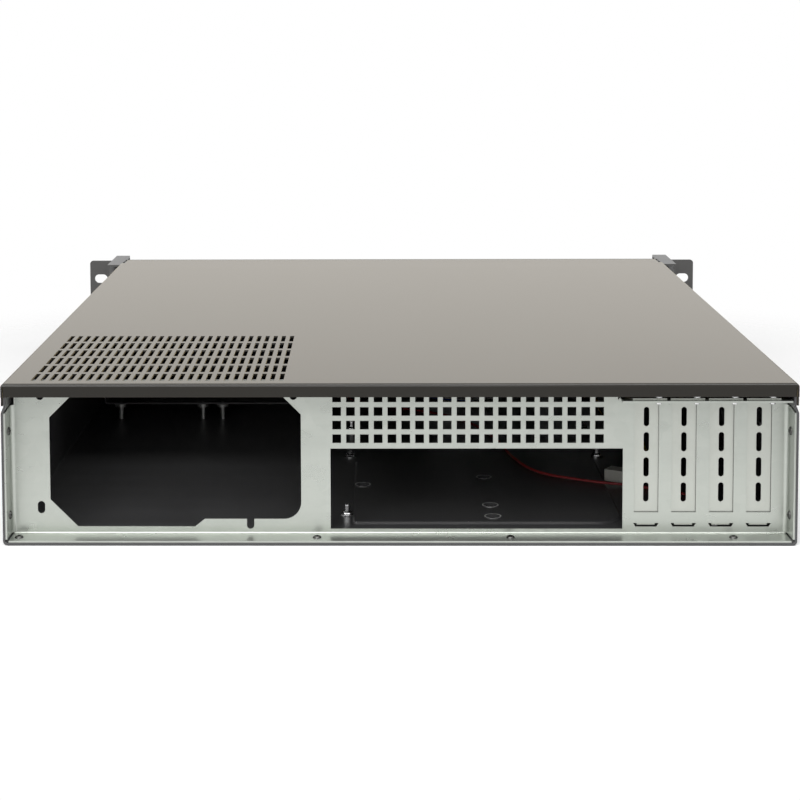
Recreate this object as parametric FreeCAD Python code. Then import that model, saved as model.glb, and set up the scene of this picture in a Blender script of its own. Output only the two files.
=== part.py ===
import FreeCAD, Part
import math
import os
from FreeCAD import Vector

# Empty 2U rackmount server case, millimetres.
# +Z is up, the front with the rack ears faces -Y, the connector side faces +Y.
# The origin is the centre of the whole case's footprint, on the underside of the base.

# ---- overall sizes ----
bodyWidth = 426.6
bodyHeight = 88.0
bodyDepth = 480.0            # rear edge of the base to the back of the rack ears
rackWidth = 482.6            # outside the ears
handleReach = 32.0           # back of the ears to the front of the handles

# ---- sheet thicknesses and bends ----
traySheet = 1.2
coverSheet = 1.0
panelSheet = 1.0
frameSheet = 1.2
frontPlate = 2.0
earPlate = 2.0
handleSheet = 1.5
cageSheet = 1.0
bendInside = 1.0
coverGap = 0.2               # running gap between the cover and what it closes over

# ---- base: side wall joggle and formed floor areas ----
joggleFromTop = 16.0         # where the side walls start to step inwards
joggleRise = 3.0
embossRise = 1.2
boardEmboss = dict(left=-126.0, right=25.4, rear=35.0, front=172.0, cornerLow=16.0, cornerHigh=2.6)
collarOutside = 9.6
collarBore = 8.2
collarHeight = 0.6
collarSpots = [(20.1, 112.7), (-53.4, 129.3), (-53.4, 68.4), (-53.4, 45.5)]
railHoleBore = 4.2
railHoleRear = 90.0
railHoleFromEars = 90.0

# ---- cover ----
coverShort = 26.0            # how far the cover ends short of the ears
coverFlange = 12.2
lipHeight = 7.3
lipEndGap = 0.5
ventColumns = 28
ventRows = 6
ventPitchX = 4.97
ventPitchY = 22.6
ventSlotWide = 2.5
ventSlotLong = 18.0
ventFirstX = 197.4
ventFirstDepth = 17.6
coverScrewRear = 70.0
coverScrewFront = 44.0       # from the cover's front edge
coverScrewFromTop = 6.6
coverScrewBore = 3.2
coverScrewHead = 6.0
coverScrewReach = 4.5

# ---- rear panel ----
panelRecess = 14.8           # rear edge of the base to the panel's outer face
panelTopFlange = 10.0
panelSideBend = 2.6          # inside radius between the panel and its side flanges
panelTopInset = 1.7          # each side, above the side flanges
flangeEnd = 0.5              # how far the panel's flanges stop short of the rear edge
sideFlangeFromTop = 14.6
sideFlangeSlope = 1.7
cornerGap = 0.7
gridColumns = 20
gridRows = 4
gridPitch = 7.5
gridHole = 4.75
gridLastX = 33.5
gridFromTop = 10.9           # middle of the top row
windowWide = 158.75
windowTall = 44.45
windowCentreX = -42.4
windowLowZ = 4.7
psuEdgeX = 201.0             # outer edge of the power supply the opening is made for
psuBaseZ = 0.7
psuOpenLeft = 190.0
psuOpenRight = 53.0
psuOpenLow = 6.0
psuOpenStep = 10.2
psuOpenFromTop = 5.0
psuStepX = 111.0
psuCornerCut = 15.0
psuUpperCut = 16.6
psuRoundCorner = 9.3
psuHoleWide = 4.0
psuHoleLong = 6.8
psuHoleInset = 6.0
psuHoleAcross = 144.0
psuLowerHole = 16.0
psuUpperHoleDrop = 3.6       # below the top of the opening
psuNotchInset = 120.3
psuNotchHeight = 6.0

# ---- expansion slots ----
slotCount = 4
slotPitch = 20.32
firstSlotX = -134.55
slotOpenWide = 13.2
slotOpenLow = 13.9
ledgeFromTop = 9.9
ledgeEndX = -118.9
ledgeReach = 13.3
tongueSlitWide = 13.8
tongueSlitNarrow = 11.4
tongueSlitLow = 5.9
tongueSlitHigh = 7.9
coverStripWide = 18.4
coverStripSheet = 0.9
tongueWide = 9.8
tongueEnd = 6.7
tongueShoulder = 12.0
tabReach = 11.4
stripSlotWide = 2.9
stripSlotLong = 10.6
stripSlotCount = 4
stripSlotFirstZ = 24.8
stripSlotDrop = 11.65        # last slot's middle, below the ledge
slotScrewOffset = 5.3
slotScrewBore = 3.4
slotScrewReach = 3.6

# ---- rivets ----
rivetBore = 3.2
rivetHead = 5.0
rivetHeadHigh = 1.0
wallRivetLow = 14.0
wallRivetDrop = 13.2         # upper rivet, below the side flange's top
wallRivetDepth = 9.2
floorRivetSpots = [206.0, 44.2, -60.4, -180.6]
floorRivetDepth = 7.0

# ---- board standoffs: micro-ATX pattern ----
boardRear = 20.0             # rear edge of the base to the board's rear edge
boardSideX = 35.15           # board's connector-side edge
standoffTall = 6.5
standoffFlats = 5.5
standoffFoot = 7.2
standoffFootHigh = 0.8
standoffThread = 3.6
standoffBore = 2.6
standoffSpots = [
    (6.35, 33.02), (163.83, 10.16), (209.55, 10.16),
    (6.35, 165.10), (163.83, 165.10), (209.55, 165.10),
    (6.35, 237.49), (163.83, 237.49), (209.55, 237.49),
]

# ---- front ----
frameTopFlange = 40.0
frameFlange = 18.0
frontPlateEdge = 0.5
fanRoom = 8.0                # height that the sheets and gaps take from the fans
fanDeep = 25.0
fanWall = 2.0                # thinnest wall around a fan's duct
fanFirstX = -152.0
fanGap = 4.0                 # between the two fans
fanHoleInset = 4.25
fanHoleBore = 4.4
fanScrewReach = 10.0
fanHub = 34.0
fanBlades = 7
fanBladeGap = 1.5
fanBladeSheet = 1.4
fanBladeChord = 22.0
fanBladePitch = 36.0
fanShaft = 3.0
fanRunGap = 0.05
frontSlotWide = 3.4
frontSlotPitchX = 6.4
frontSlotGap = 4.5
frontSlotMargin = 3.5        # above and below the slots, inside the fan's duct
frontSlotColumns = 10
frontSlotRows = 3
bayCentreX = 126.35
bayWide = 149.0
bayTall = 41.6
bayFromCageTop = 1.2
bayGap = 0.3

# ---- rack ears and handles ----
earLow = 0.6
earTopDrop = 1.9
handleWide = 10.7
handleBack = 23.0            # how far the handle's channel runs back along the side wall
handleBend = 2.5
fingerLow = 15.0
fingerFromTop = 16.0
fingerBack = 6.0
fingerFront = 7.0
rackSlotSpacing = 465.1
rackSlotLong = 10.3
rackSlotWide = 7.0
rackSlotLowZ = 15.1
rackSlotSpacingZ = 56.5
earCorner = 2.5
earScrewLowZ = 15.0
earScrewFromTop = 17.0
earScrewInset = 12.0         # behind the ears
earScrewBore = 3.9
earScrewHead = 6.4

# ---- drive cage ----
cageWide = 151.0
cageLength = 189.8           # from the front frame's inner face
cageLow = 12.3
cageCoverGap = 1.6
cageTopFlange = 12.0
pillarOffsets = (-64.25, -6.85, 6.85, 64.25)
pillarBody = 3.4
pillarHead = 8.6
pillarHeadHigh = 2.2
pillarInset = 3.0
pillarFront = 40.0           # front row, behind the ears
railShelf = 9.0
railSheet = 1.0

# ---- controls ----
controlCentreX = 8.0
windowControlsWide = 46.0
windowControlsRoom = 10.0    # above and below the opening for the controls
boardWide = 58.0
boardRoom = 4.0              # above and below the board
boardSheet = 1.6
boardBehind = 11.0           # frame wall's inner face to the board's front face
spacerWide = 5.0
spacerInset = 3.5
powerButtonSpot = (0.0, 21.0)
resetButtonSpot = (0.0, 3.0)
powerButtonWide = 13.0
resetButtonWide = 6.0
buttonGap = 0.25
buttonStand = 1.4
buttonFlange = 1.4
buttonFlangeHigh = 1.2
buttonTravel = 2.0
buttonStem = 3.0
switchSize = 9.0
switchDeep = 5.5
switchStemDeep = 3.6
ledSpots = [(-14.0, 27.0), (-14.0, 18.0), (-14.0, 9.0)]
ledBore = 3.2
usbSpots = [(-7.5, -22.0), (7.5, -22.0)]
usbWide = 5.8
usbTall = 13.2
usbDeep = 14.0
usbWall = 0.6
headerSpot = (14.0, -34.0)
headerSize = (10.0, 6.0, 8.5)

# ---- leads ----
powerLeadWide = 1.7
fanLeadWide = 3.0
ledLeadWide = 2.2
leadLift = 0.3

halfWidth = bodyWidth / 2
trayInside = halfWidth - traySheet
upperInset = coverSheet + coverGap
upperOutside = halfWidth - upperInset
upperInside = upperOutside - traySheet
coverUnder = bodyHeight - coverSheet
wallTop = coverUnder - bendInside - coverGap
joggleLow = bodyHeight - joggleFromTop
joggleHigh = joggleLow + joggleRise
coverDepth = bodyDepth - coverShort
railHoleDepths = (railHoleRear, bodyDepth - railHoleFromEars)
railHoleZ = bodyHeight / 2
coverScrewDepths = (coverScrewRear, coverDepth - coverScrewFront)
coverScrewZ = bodyHeight - coverScrewFromTop
panelTop = coverUnder
sideFlangeTop = bodyHeight - sideFlangeFromTop
gridFirstZ = bodyHeight - gridFromTop - (gridRows - 1) * gridPitch
psuOpenTop = bodyHeight - psuOpenFromTop
psuUpperHole = psuOpenTop - psuBaseZ - psuUpperHoleDrop
psuHoleOffsets = [(psuHoleInset, psuLowerHole), (psuHoleInset, psuUpperHole), (psuHoleAcross, psuUpperHole)]
ledgeTop = bodyHeight - ledgeFromTop
stripSlotPitch = (ledgeTop - stripSlotDrop - stripSlotFirstZ) / (stripSlotCount - 1)
wallRivetSpots = [(sideFlangeTop - wallRivetDrop, wallRivetDepth), (wallRivetLow, wallRivetDepth)]
fanSize = bodyHeight - fanRoom
fanBore = fanSize - 2 * fanWall
fanCentres = (fanFirstX, fanFirstX + fanSize + fanGap)
fanCentreZ = bodyHeight / 2
fanHolePitch = fanSize - 2 * fanHoleInset
frontSlotLong = (fanBore - 2 * frontSlotMargin - (frontSlotRows - 1) * frontSlotGap) / frontSlotRows
frontSlotPitchZ = frontSlotLong + frontSlotGap
earTop = bodyHeight - earTopDrop
fingerHigh = bodyHeight - fingerFromTop
rackSlotZs = (rackSlotLowZ, rackSlotLowZ + rackSlotSpacingZ)
earScrewHighZ = bodyHeight - earScrewFromTop
earScrewZs = (earScrewLowZ, (earScrewLowZ + earScrewHighZ) / 2, earScrewHighZ)
earScrewDepth = bodyDepth - earScrewInset
cageTop = coverUnder - cageCoverGap
cageRear = bodyDepth - frameSheet - cageLength
bayLowZ = cageTop - bayFromCageTop - bayTall
pillarFrontDepth = bodyDepth - pillarFront
controlCentreZ = bodyHeight / 2
windowControlsTall = bodyHeight - 2 * windowControlsRoom
boardTall = bodyHeight - 2 * boardRoom
yRear = (bodyDepth + handleReach) / 2
yEars = yRear - bodyDepth
yFrameInside = yEars + frameSheet
floorTop = traySheet


def atDepth(depth):
    # y of a point that lies a given distance forward of the base's rear edge
    return yRear - depth


def block(x0, x1, y0, y1, z0, z1):
    low = Vector(min(x0, x1), min(y0, y1), min(z0, z1))
    return Part.makeBox(abs(x1 - x0), abs(y1 - y0), abs(z1 - z0), low)


def rod(x, y, z, diameter, length, direction):
    return Part.makeCylinder(diameter / 2, length, Vector(x, y, z), Vector(*direction))


def planXY(z):
    return lambda a, b: Vector(a, b, z)


def planXZ(y):
    return lambda a, b: Vector(a, y, b)


def planYZ(x):
    return lambda a, b: Vector(x, a, b)


def roundedFace(corners, radii, plan):
    # closed outline whose corners are rounded by tangent arcs, as a face
    spans = []
    count = len(corners)
    for i in range(count):
        here = plan(*corners[i])
        toLast = (plan(*corners[i - 1]) - here).normalize()
        toNext = (plan(*corners[(i + 1) % count]) - here).normalize()
        radius = radii[i]
        if radius <= 0:
            spans.append((here, None, here))
            continue
        half = toLast.getAngle(toNext) / 2
        setback = radius / math.tan(half)
        middle = (toLast + toNext).normalize() * (radius / math.sin(half) - radius)
        spans.append((here + toLast * setback, here + middle, here + toNext * setback))
    edges = []
    for i in range(count):
        start, middle, end = spans[i]
        if middle is not None:
            edges.append(Part.Arc(start, middle, end).toShape())
        following = spans[(i + 1) % count][0]
        if (following - end).Length > 1e-6:
            edges.append(Part.LineSegment(end, following).toShape())
    return Part.Face(Part.Wire(edges))


def foldedFace(path, sheet, inside, plan):
    # section of a folded sheet: the path is one face, the sheet lies to its left
    count = len(path)
    sides = []
    for i in range(count - 1):
        along = (path[i + 1][0] - path[i][0], path[i + 1][1] - path[i][1])
        size = math.hypot(*along)
        sides.append((-along[1] / size, along[0] / size))
    other = []
    otherRadii = []
    pathRadii = []
    for i in range(count):
        if i in (0, count - 1):
            normal = sides[0] if i == 0 else sides[-1]
            other.append((path[i][0] + normal[0] * sheet, path[i][1] + normal[1] * sheet))
            pathRadii.append(0)
            otherRadii.append(0)
            continue
        before, after = sides[i - 1], sides[i]
        share = sheet / (1 + before[0] * after[0] + before[1] * after[1])
        other.append((path[i][0] + (before[0] + after[0]) * share,
                      path[i][1] + (before[1] + after[1]) * share))
        turnsLeft = before[0] * after[1] - before[1] * after[0] > 0
        pathRadii.append(inside + sheet if turnsLeft else inside)
        otherRadii.append(inside if turnsLeft else inside + sheet)
    corners = list(path) + other[::-1]
    radii = pathRadii + otherRadii[::-1]
    return roundedFace(corners, radii, plan)


def rectangle(x0, x1, y0, y1):
    return [(x0, y0), (x1, y0), (x1, y1), (x0, y1)]


def obroundFace(a, b, length, width, upright, plan):
    longHalf, shortHalf = length / 2, width / 2
    if upright:
        corners = rectangle(a - shortHalf, a + shortHalf, b - longHalf, b + longHalf)
    else:
        corners = rectangle(a - longHalf, a + longHalf, b - shortHalf, b + shortHalf)
    return roundedFace(corners, [shortHalf * 0.999] * 4, plan)


def joined(shapes):
    first = shapes[0]
    if len(shapes) > 1:
        first = first.fuse(shapes[1:])
    return first.removeSplitter()


def without(shape, tools):
    return shape.cut(tools) if tools else shape


def write(name, solids):
    shape = solids if isinstance(solids, Part.Shape) else Part.makeCompound(solids)
    found = shape.Solids
    shape = found[0] if len(found) == 1 else Part.makeCompound(found)
    shape.exportStep("parts/" + name + ".step")
    print(name, "solids", len(found), "volume", round(shape.Volume, 1), "valid", shape.isValid())


# ---- base tray ----

def embossed(area, grow, low, high):
    # raised floor area with a sloping edge
    left, right = area["left"] - grow, area["right"] + grow
    rear, front = atDepth(area["rear"] - grow), atDepth(area["front"] + grow)
    corners = rectangle(left, right, front, rear)
    turns = [area["cornerHigh"], area["cornerHigh"], area["cornerHigh"], area["cornerLow"]]
    pad = roundedFace(corners, [r + grow for r in turns], planXY(low))
    pad = pad.extrude(Vector(0, 0, high - low))
    rim = [e for e in pad.Edges if min(v.Z for v in e.Vertexes) > high - 0.01]
    return pad.makeChamfer(embossRise * 0.9, rim)


def baseTray():
    path = [(-upperOutside, wallTop), (-upperOutside, joggleHigh), (-halfWidth, joggleLow),
            (-halfWidth, 0), (halfWidth, 0), (halfWidth, joggleLow),
            (upperOutside, joggleHigh), (upperOutside, wallTop)]
    section = foldedFace(path, traySheet, bendInside, planXZ(yEars))
    tray = section.extrude(Vector(0, bodyDepth, 0))
    tray = joined([tray, embossed(boardEmboss, 0, 0, floorTop + embossRise)])
    tray = tray.cut(embossed(boardEmboss, -traySheet, -1, embossRise))
    collars = []
    bores = []
    for x, depth in collarSpots:
        top = floorTop + embossRise
        collars.append(rod(x, atDepth(depth), embossRise, collarOutside, traySheet + collarHeight, (0, 0, 1)))
        bores.append(rod(x, atDepth(depth), -1, collarBore, top + 4, (0, 0, 1)))
    tray = joined([tray] + collars)
    # the inset walls stop short of the cover's rear lip
    bores.append(block(-halfWidth, halfWidth, atDepth(coverSheet + coverGap), atDepth(-1),
                       joggleHigh, coverUnder + 1))
    for side in (-1, 1):
        for height, depth in wallRivetSpots:
            bores.append(rod(side * (halfWidth + 1), atDepth(depth), height, rivetBore, 6, (-side, 0, 0)))
        for depth in railHoleDepths:
            bores.append(rod(side * (halfWidth + 1), atDepth(depth), railHoleZ, railHoleBore, 6, (-side, 0, 0)))
        for height in earScrewZs:
            bores.append(rod(side * (halfWidth + 1), atDepth(earScrewDepth), height, earScrewBore, 6, (-side, 0, 0)))
        for depth in coverScrewDepths:
            # open-topped slot, so that a loosened cover lifts off with its screws
            wide = coverScrewBore / 2 + coverGap
            y = atDepth(depth)
            bores.append(rod(side * (halfWidth + 1), y, coverScrewZ, 2 * wide, 6, (-side, 0, 0)))
            bores.append(block(side * (halfWidth + 1), side * (upperInside - 2), y - wide, y + wide,
                               coverScrewZ, coverUnder + 1))
    for x in floorRivetSpots:
        bores.append(rod(x, atDepth(floorRivetDepth), -1, rivetBore, 4, (0, 0, 1)))
    for x, depth, low in standoffPlaces():
        bores.append(rod(x, atDepth(depth), -1, standoffThread, low + 2, (0, 0, 1)))
    return without(tray, bores)


# ---- cover ----

def topCover():
    rear, front = atDepth(0), atDepth(coverDepth)
    low = bodyHeight - coverFlange
    outside = block(-halfWidth, halfWidth, front, rear, low, bodyHeight)
    inner = block(-halfWidth + coverSheet, halfWidth - coverSheet, front - 5, rear - coverSheet,
                  low - 1, bodyHeight - coverSheet)

    def bent(shape, top, back, radius):
        edges = []
        for edge in shape.Edges:
            points = [v.Point for v in edge.Vertexes]
            atTop = all(abs(p.z - top) < 0.01 for p in points)
            atBack = all(abs(p.y - back) < 0.01 for p in points)
            alongY = abs(points[0].y - points[1].y) > 1
            if atTop and (atBack or alongY):
                edges.append(edge)
        return shape.makeFillet(radius, edges)

    shell = bent(outside, bodyHeight, rear, bendInside + coverSheet)
    shell = shell.cut(bent(inner, bodyHeight - coverSheet, rear - coverSheet, bendInside))
    holes = [block(-halfWidth, halfWidth, rear - coverSheet - 0.01, rear + 1, low - 1, bodyHeight - lipHeight)]
    for side in (-1, 1):
        # relief between the rear lip and each side flange
        holes.append(block(side * (halfWidth - coverSheet), side * (halfWidth - coverSheet - lipEndGap),
                           rear - coverSheet - 0.5, rear + 1, low - 1, bodyHeight - bendInside - coverSheet))
        for depth in coverScrewDepths:
            holes.append(rod(side * (halfWidth + 1), atDepth(depth), coverScrewZ, coverScrewBore, 4, (-side, 0, 0)))
            holes.append(screwCone(side, atDepth(depth)))
    for row in range(ventRows):
        y = atDepth(ventFirstDepth + row * ventPitchY)
        for column in range(ventColumns):
            x = ventFirstX - column * ventPitchX
            holes.append(block(x - ventSlotWide / 2, x + ventSlotWide / 2,
                               y - ventSlotLong / 2, y + ventSlotLong / 2,
                               bodyHeight - coverSheet - 1, bodyHeight + 1))
    return shell.cut(Part.makeCompound(holes))


def screwCone(side, y):
    # countersink in the cover's side flange
    return Part.makeCone(coverScrewHead / 2, coverScrewBore / 2, coverSheet,
                         Vector(side * halfWidth, y, coverScrewZ), Vector(-side, 0, 0))


def coverScrews():
    screws = []
    for side in (-1, 1):
        for depth in coverScrewDepths:
            y = atDepth(depth)
            shank = rod(side * (halfWidth - coverSheet), y, coverScrewZ, coverScrewBore,
                        coverScrewReach - coverSheet, (-side, 0, 0))
            screws.append(joined([screwCone(side, y), shank]))
    return screws


# ---- rear panel ----

def rearPanel():
    face = atDepth(panelRecess)
    end = atDepth(flangeEnd)
    low = floorTop + panelSheet + cornerGap
    # side flanges and web: a channel lying on its side, open towards the rear
    path = [(-trayInside, end), (-trayInside, face - panelSheet), (trayInside, face - panelSheet), (trayInside, end)]
    web = foldedFace(path, panelSheet, panelSideBend, planXY(low)).extrude(Vector(0, 0, panelTop - low))
    # above the joggle the web is narrower and has no side flanges
    trims = []
    for side in (-1, 1):
        trims.append(block(side * (halfWidth + 1), side * (upperInside - panelTopInset), atDepth(-5), face - 5,
                           sideFlangeTop, bodyHeight))
        slope = roundedFace([(face, sideFlangeTop), (end + 1, sideFlangeTop - sideFlangeSlope),
                             (end + 1, bodyHeight), (face, bodyHeight)], [0] * 4,
                            planYZ(side * (trayInside - 3 if side > 0 else trayInside + 1)))
        trims.append(slope.extrude(Vector(4, 0, 0)))
    # the web keeps its full height, so the slope only trims the flanges
    topHalf = upperInside - panelTopInset
    core = block(-topHalf, topHalf, face, face - panelSheet, low, panelTop)
    web = joined([without(web, trims), core])
    # bottom flange lies on the floor; top flange turns inwards beside the slots
    inset = trayInside - panelSheet - cornerGap
    bottomPath = [(end, floorTop), (face - panelSheet, floorTop), (face - panelSheet, floorTop + 8)]
    bottom = foldedFace(bottomPath[::-1], panelSheet, bendInside, planYZ(-inset))
    bottom = bottom.extrude(Vector(2 * inset, 0, 0))
    topPath = [(face - panelTopFlange, panelTop), (face, panelTop), (face, panelTop - 8)]
    # the flange ends short of the power supply, which stiffens the panel there
    topRight = psuOpenRight - panelSheet
    top = foldedFace(topPath[::-1], panelSheet, bendInside, planYZ(ledgeEndX))
    top = top.extrude(Vector(topRight - ledgeEndX, 0, 0))
    bendTrim = block(ledgeEndX, topRight, face + 1, face - panelSheet - 1, panelTop - bendInside - panelSheet,
                     panelTop + 1)
    web = without(web, [bendTrim])
    # ledge over the slots, folded outwards
    ledgeLeft = -(upperInside - 0.6)
    ledgePath = [(face + ledgeReach, ledgeTop), (face - panelSheet, ledgeTop), (face - panelSheet, ledgeTop - 8)]
    ledge = foldedFace(ledgePath, panelSheet, bendInside * 0.6, planYZ(ledgeLeft))
    ledge = ledge.extrude(Vector(ledgeEndX - cornerGap - ledgeLeft, 0, 0))
    cutAbove = block(-halfWidth, ledgeEndX, face + 1, face - panelSheet - 1,
                     ledgeTop - panelSheet - bendInside, panelTop + 1)
    web = without(web, [cutAbove])
    panel = joined([web, bottom, top, ledge])
    return without(panel, rearOpenings())


def rearOpenings():
    tools = []
    face = atDepth(panelRecess)
    through = Vector(0, -panelSheet - 4, 0)
    plan = planXZ(face + 2)
    step = psuOpenStep - psuOpenLow
    outline = [(psuOpenLeft, psuOpenLow + psuCornerCut), (psuOpenLeft - psuCornerCut, psuOpenLow),
               (psuStepX, psuOpenLow), (psuStepX - step * 1.25, psuOpenStep),
               (psuOpenRight, psuOpenStep), (psuOpenRight, psuOpenTop - psuCornerCut),
               (psuOpenRight + psuCornerCut, psuOpenTop), (psuOpenLeft - psuUpperCut, psuOpenTop),
               (psuOpenLeft, psuOpenTop - psuUpperCut)]
    radii = [1, 1, 1, 1, psuRoundCorner, 1, 1, 1, 1]
    tools.append(roundedFace(outline, radii, plan).extrude(through))
    for offset, height in psuHoleOffsets:
        hole = obroundFace(psuEdgeX - offset, psuBaseZ + height, psuHoleLong, psuHoleWide, True, plan)
        tools.append(hole.extrude(through))
    notchX = psuEdgeX - psuNotchInset
    notchZ = psuBaseZ + psuNotchHeight
    tools.append(rod(notchX, face + 2, notchZ, psuHoleWide, panelSheet + 4, (0, -1, 0)))
    tools.append(block(notchX - psuHoleWide / 2, notchX + psuHoleWide / 2, face + 2, face - panelSheet - 2,
                       notchZ, psuOpenStep + 0.5))
    tools.append(block(windowCentreX - windowWide / 2, windowCentreX + windowWide / 2,
                       face + 2, face - panelSheet - 2, windowLowZ, windowLowZ + windowTall))
    for column in range(gridColumns):
        for row in range(gridRows):
            x = gridLastX - column * gridPitch
            z = gridFirstZ + row * gridPitch
            tools.append(block(x - gridHole / 2, x + gridHole / 2, face + 2, face - panelSheet - 2,
                               z - gridHole / 2, z + gridHole / 2))
    for i in range(slotCount):
        x = slotX(i)
        tools.append(block(x - slotOpenWide / 2, x + slotOpenWide / 2, face + 0.5, face - panelSheet - 2,
                           slotOpenLow, ledgeTop - panelSheet - bendInside))
        slit = [(x - tongueSlitNarrow / 2, tongueSlitLow), (x + tongueSlitNarrow / 2, tongueSlitLow),
                (x + tongueSlitWide / 2, tongueSlitHigh), (x - tongueSlitWide / 2, tongueSlitHigh)]
        tools.append(roundedFace(slit, [0] * 4, plan).extrude(through))
        tools.append(rod(x - slotScrewOffset, slotScrewY(), ledgeTop - 3, slotScrewBore, 5, (0, 0, 1)))
    for side in (-1, 1):
        for height, depth in wallRivetSpots:
            tools.append(rod(side * (trayInside + 1), atDepth(depth), height, rivetBore, 4, (-side, 0, 0)))
    for x in floorRivetSpots:
        tools.append(rod(x, atDepth(floorRivetDepth), 0, rivetBore, 4, (0, 0, 1)))
    return tools


def slotX(index):
    return firstSlotX - index * slotPitch


def slotScrewY():
    return atDepth(panelRecess) + ledgeReach * 0.55


def slotCover(index):
    x = slotX(index)
    back = atDepth(panelRecess) - panelSheet
    left = x - coverStripWide / 2
    path = [(back, tongueEnd), (back, ledgeTop), (back + tabReach, ledgeTop)]
    strip = foldedFace(path, coverStripSheet, 0.4, planYZ(left)).extrude(Vector(coverStripWide, 0, 0))
    cuts = []
    for side in (-1, 1):
        outer = x + side * (coverStripWide / 2 + 1)
        inner = x + side * tongueWide / 2
        wedge = [(outer, tongueEnd - 1), (inner, tongueEnd - 1), (inner, tongueShoulder - 2.0),
                 (x + side * coverStripWide / 2, tongueShoulder), (outer, tongueShoulder)]
        cuts.append(roundedFace(wedge, [0] * 5, planXZ(back + 1)).extrude(Vector(0, -3, 0)))
    for i in range(stripSlotCount):
        hole = obroundFace(x, stripSlotFirstZ + i * stripSlotPitch, stripSlotLong, stripSlotWide, True,
                           planXZ(back + 1))
        cuts.append(hole.extrude(Vector(0, -3, 0)))
    cuts.append(rod(x - slotScrewOffset, slotScrewY(), ledgeTop - 1, slotScrewBore, 4, (0, 0, 1)))
    return without(strip, cuts)


def panHead(x, y, z, head, high, shank, reach):
    # pan head screw standing on +Z, head underside at z
    top = Part.makeCone(head / 2, head * 0.4, high, Vector(x, y, z))
    body = Part.makeCylinder(shank / 2, reach, Vector(x, y, z - reach))
    return joined([top, body])


def turned(shape, centre, axis, degrees):
    copy = shape.copy()
    copy.rotate(centre, axis, degrees)
    return copy


def slotCoverScrews():
    screws = []
    for i in range(slotCount):
        screws.append(panHead(slotX(i) - slotScrewOffset, slotScrewY(), ledgeTop + coverStripSheet,
                              5.6, 1.9, slotScrewBore - 0.1, slotScrewReach))
    return screws


def rivet(spot, inwards, grip):
    # flush outside, with its formed head on the side that can be seen
    shank = Part.makeCylinder(rivetBore / 2, grip, spot, inwards)
    foot = spot + inwards * grip
    head = Part.makeCone(rivetHead / 2, rivetHead / 2 - 0.7, rivetHeadHigh, foot, inwards)
    return joined([shank, head])


def rearRivets():
    grip = traySheet + panelSheet
    rivets = []
    for side in (1, -1):
        for height, depth in wallRivetSpots:
            rivets.append(rivet(Vector(side * halfWidth, atDepth(depth), height), Vector(-side, 0, 0), grip))
    for x in floorRivetSpots:
        rivets.append(rivet(Vector(x, atDepth(floorRivetDepth), 0), Vector(0, 0, 1), grip))
    return rivets


# ---- board standoffs ----

def standoffPlaces():
    places = []
    for across, depth in standoffSpots:
        x = boardSideX - across
        y = boardRear + depth
        raised = (boardEmboss["left"] - 1 < x < boardEmboss["right"] + 1
                  and boardEmboss["rear"] < y < boardEmboss["front"])
        places.append((x, y, floorTop + embossRise if raised else floorTop))
    return places


def standoffs():
    made = []
    acrossCorners = standoffFlats / math.cos(math.pi / 6)
    for x, depth, low in standoffPlaces():
        y = atDepth(depth)
        corners = []
        for i in range(6):
            angle = math.pi / 3 * i
            corners.append((x + acrossCorners / 2 * math.cos(angle), y + acrossCorners / 2 * math.sin(angle)))
        hexagon = roundedFace(corners, [0] * 6, planXY(low)).extrude(Vector(0, 0, standoffTall))
        foot = Part.makeCylinder(standoffFoot / 2, standoffFootHigh, Vector(x, y, low))
        stud = Part.makeCylinder(standoffThread / 2, floorTop, Vector(x, y, low - floorTop))
        hole = Part.makeCylinder(standoffBore / 2, 4.5, Vector(x, y, low + standoffTall - 4.5))
        made.append(joined([hexagon, foot, stud]).cut(hole))
    return made


# ---- front frame and front panel ----

def frontFrame():
    inner = yEars + frameSheet
    top = coverUnder
    path = [(inner + frameTopFlange - frameSheet, top), (yEars, top), (yEars, floorTop),
            (inner + frameFlange, floorTop)]
    wide = upperInside - 0.2
    frame = foldedFace(path, frameSheet, bendInside, planYZ(-wide)).extrude(Vector(2 * wide, 0, 0))
    wings = []
    for side in (-1, 1):
        outer = side * trayInside
        lowZ, highZ = floorTop + frameSheet + bendInside, joggleLow - 2
        wings.append(block(outer, side * (trayInside - frameSheet), yEars, inner + frameFlange, lowZ, highZ))
        wings.append(block(outer, side * (wide - 2), yEars, inner, lowZ, highZ))
    frame = joined([frame] + wings)
    cuts = []
    for x in fanCentres:
        cuts.append(rod(x, yEars - 1, fanCentreZ, fanBore, frameSheet + 2, (0, 1, 0)))
        cuts += fanHoles(x, yEars - 1, frameSheet + 2)
    cuts.append(bayCut(yEars - 1, frameSheet + 2, bayLowZ - 3))
    cuts.append(block(controlCentreX - windowControlsWide / 2, controlCentreX + windowControlsWide / 2,
                      yEars - 1, inner + 1, controlCentreZ - windowControlsTall / 2,
                      controlCentreZ + windowControlsTall / 2))
    for side in (-1, 1):
        for height in earScrewZs:
            cuts.append(rod(side * (halfWidth + 1), atDepth(earScrewDepth), height, earScrewBore, 8, (-side, 0, 0)))
    return without(frame, cuts)


def fanHoles(x, y, length):
    half = fanHolePitch / 2
    holes = []
    for dx in (-half, half):
        for dz in (-half, half):
            holes.append(rod(x + dx, y, fanCentreZ + dz, fanHoleBore, length, (0, 1, 0)))
    return holes


def bayCut(y, length, low):
    return block(bayCentreX - bayWide / 2, bayCentreX + bayWide / 2, y, y + length, low, bayLowZ + bayTall)


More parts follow.
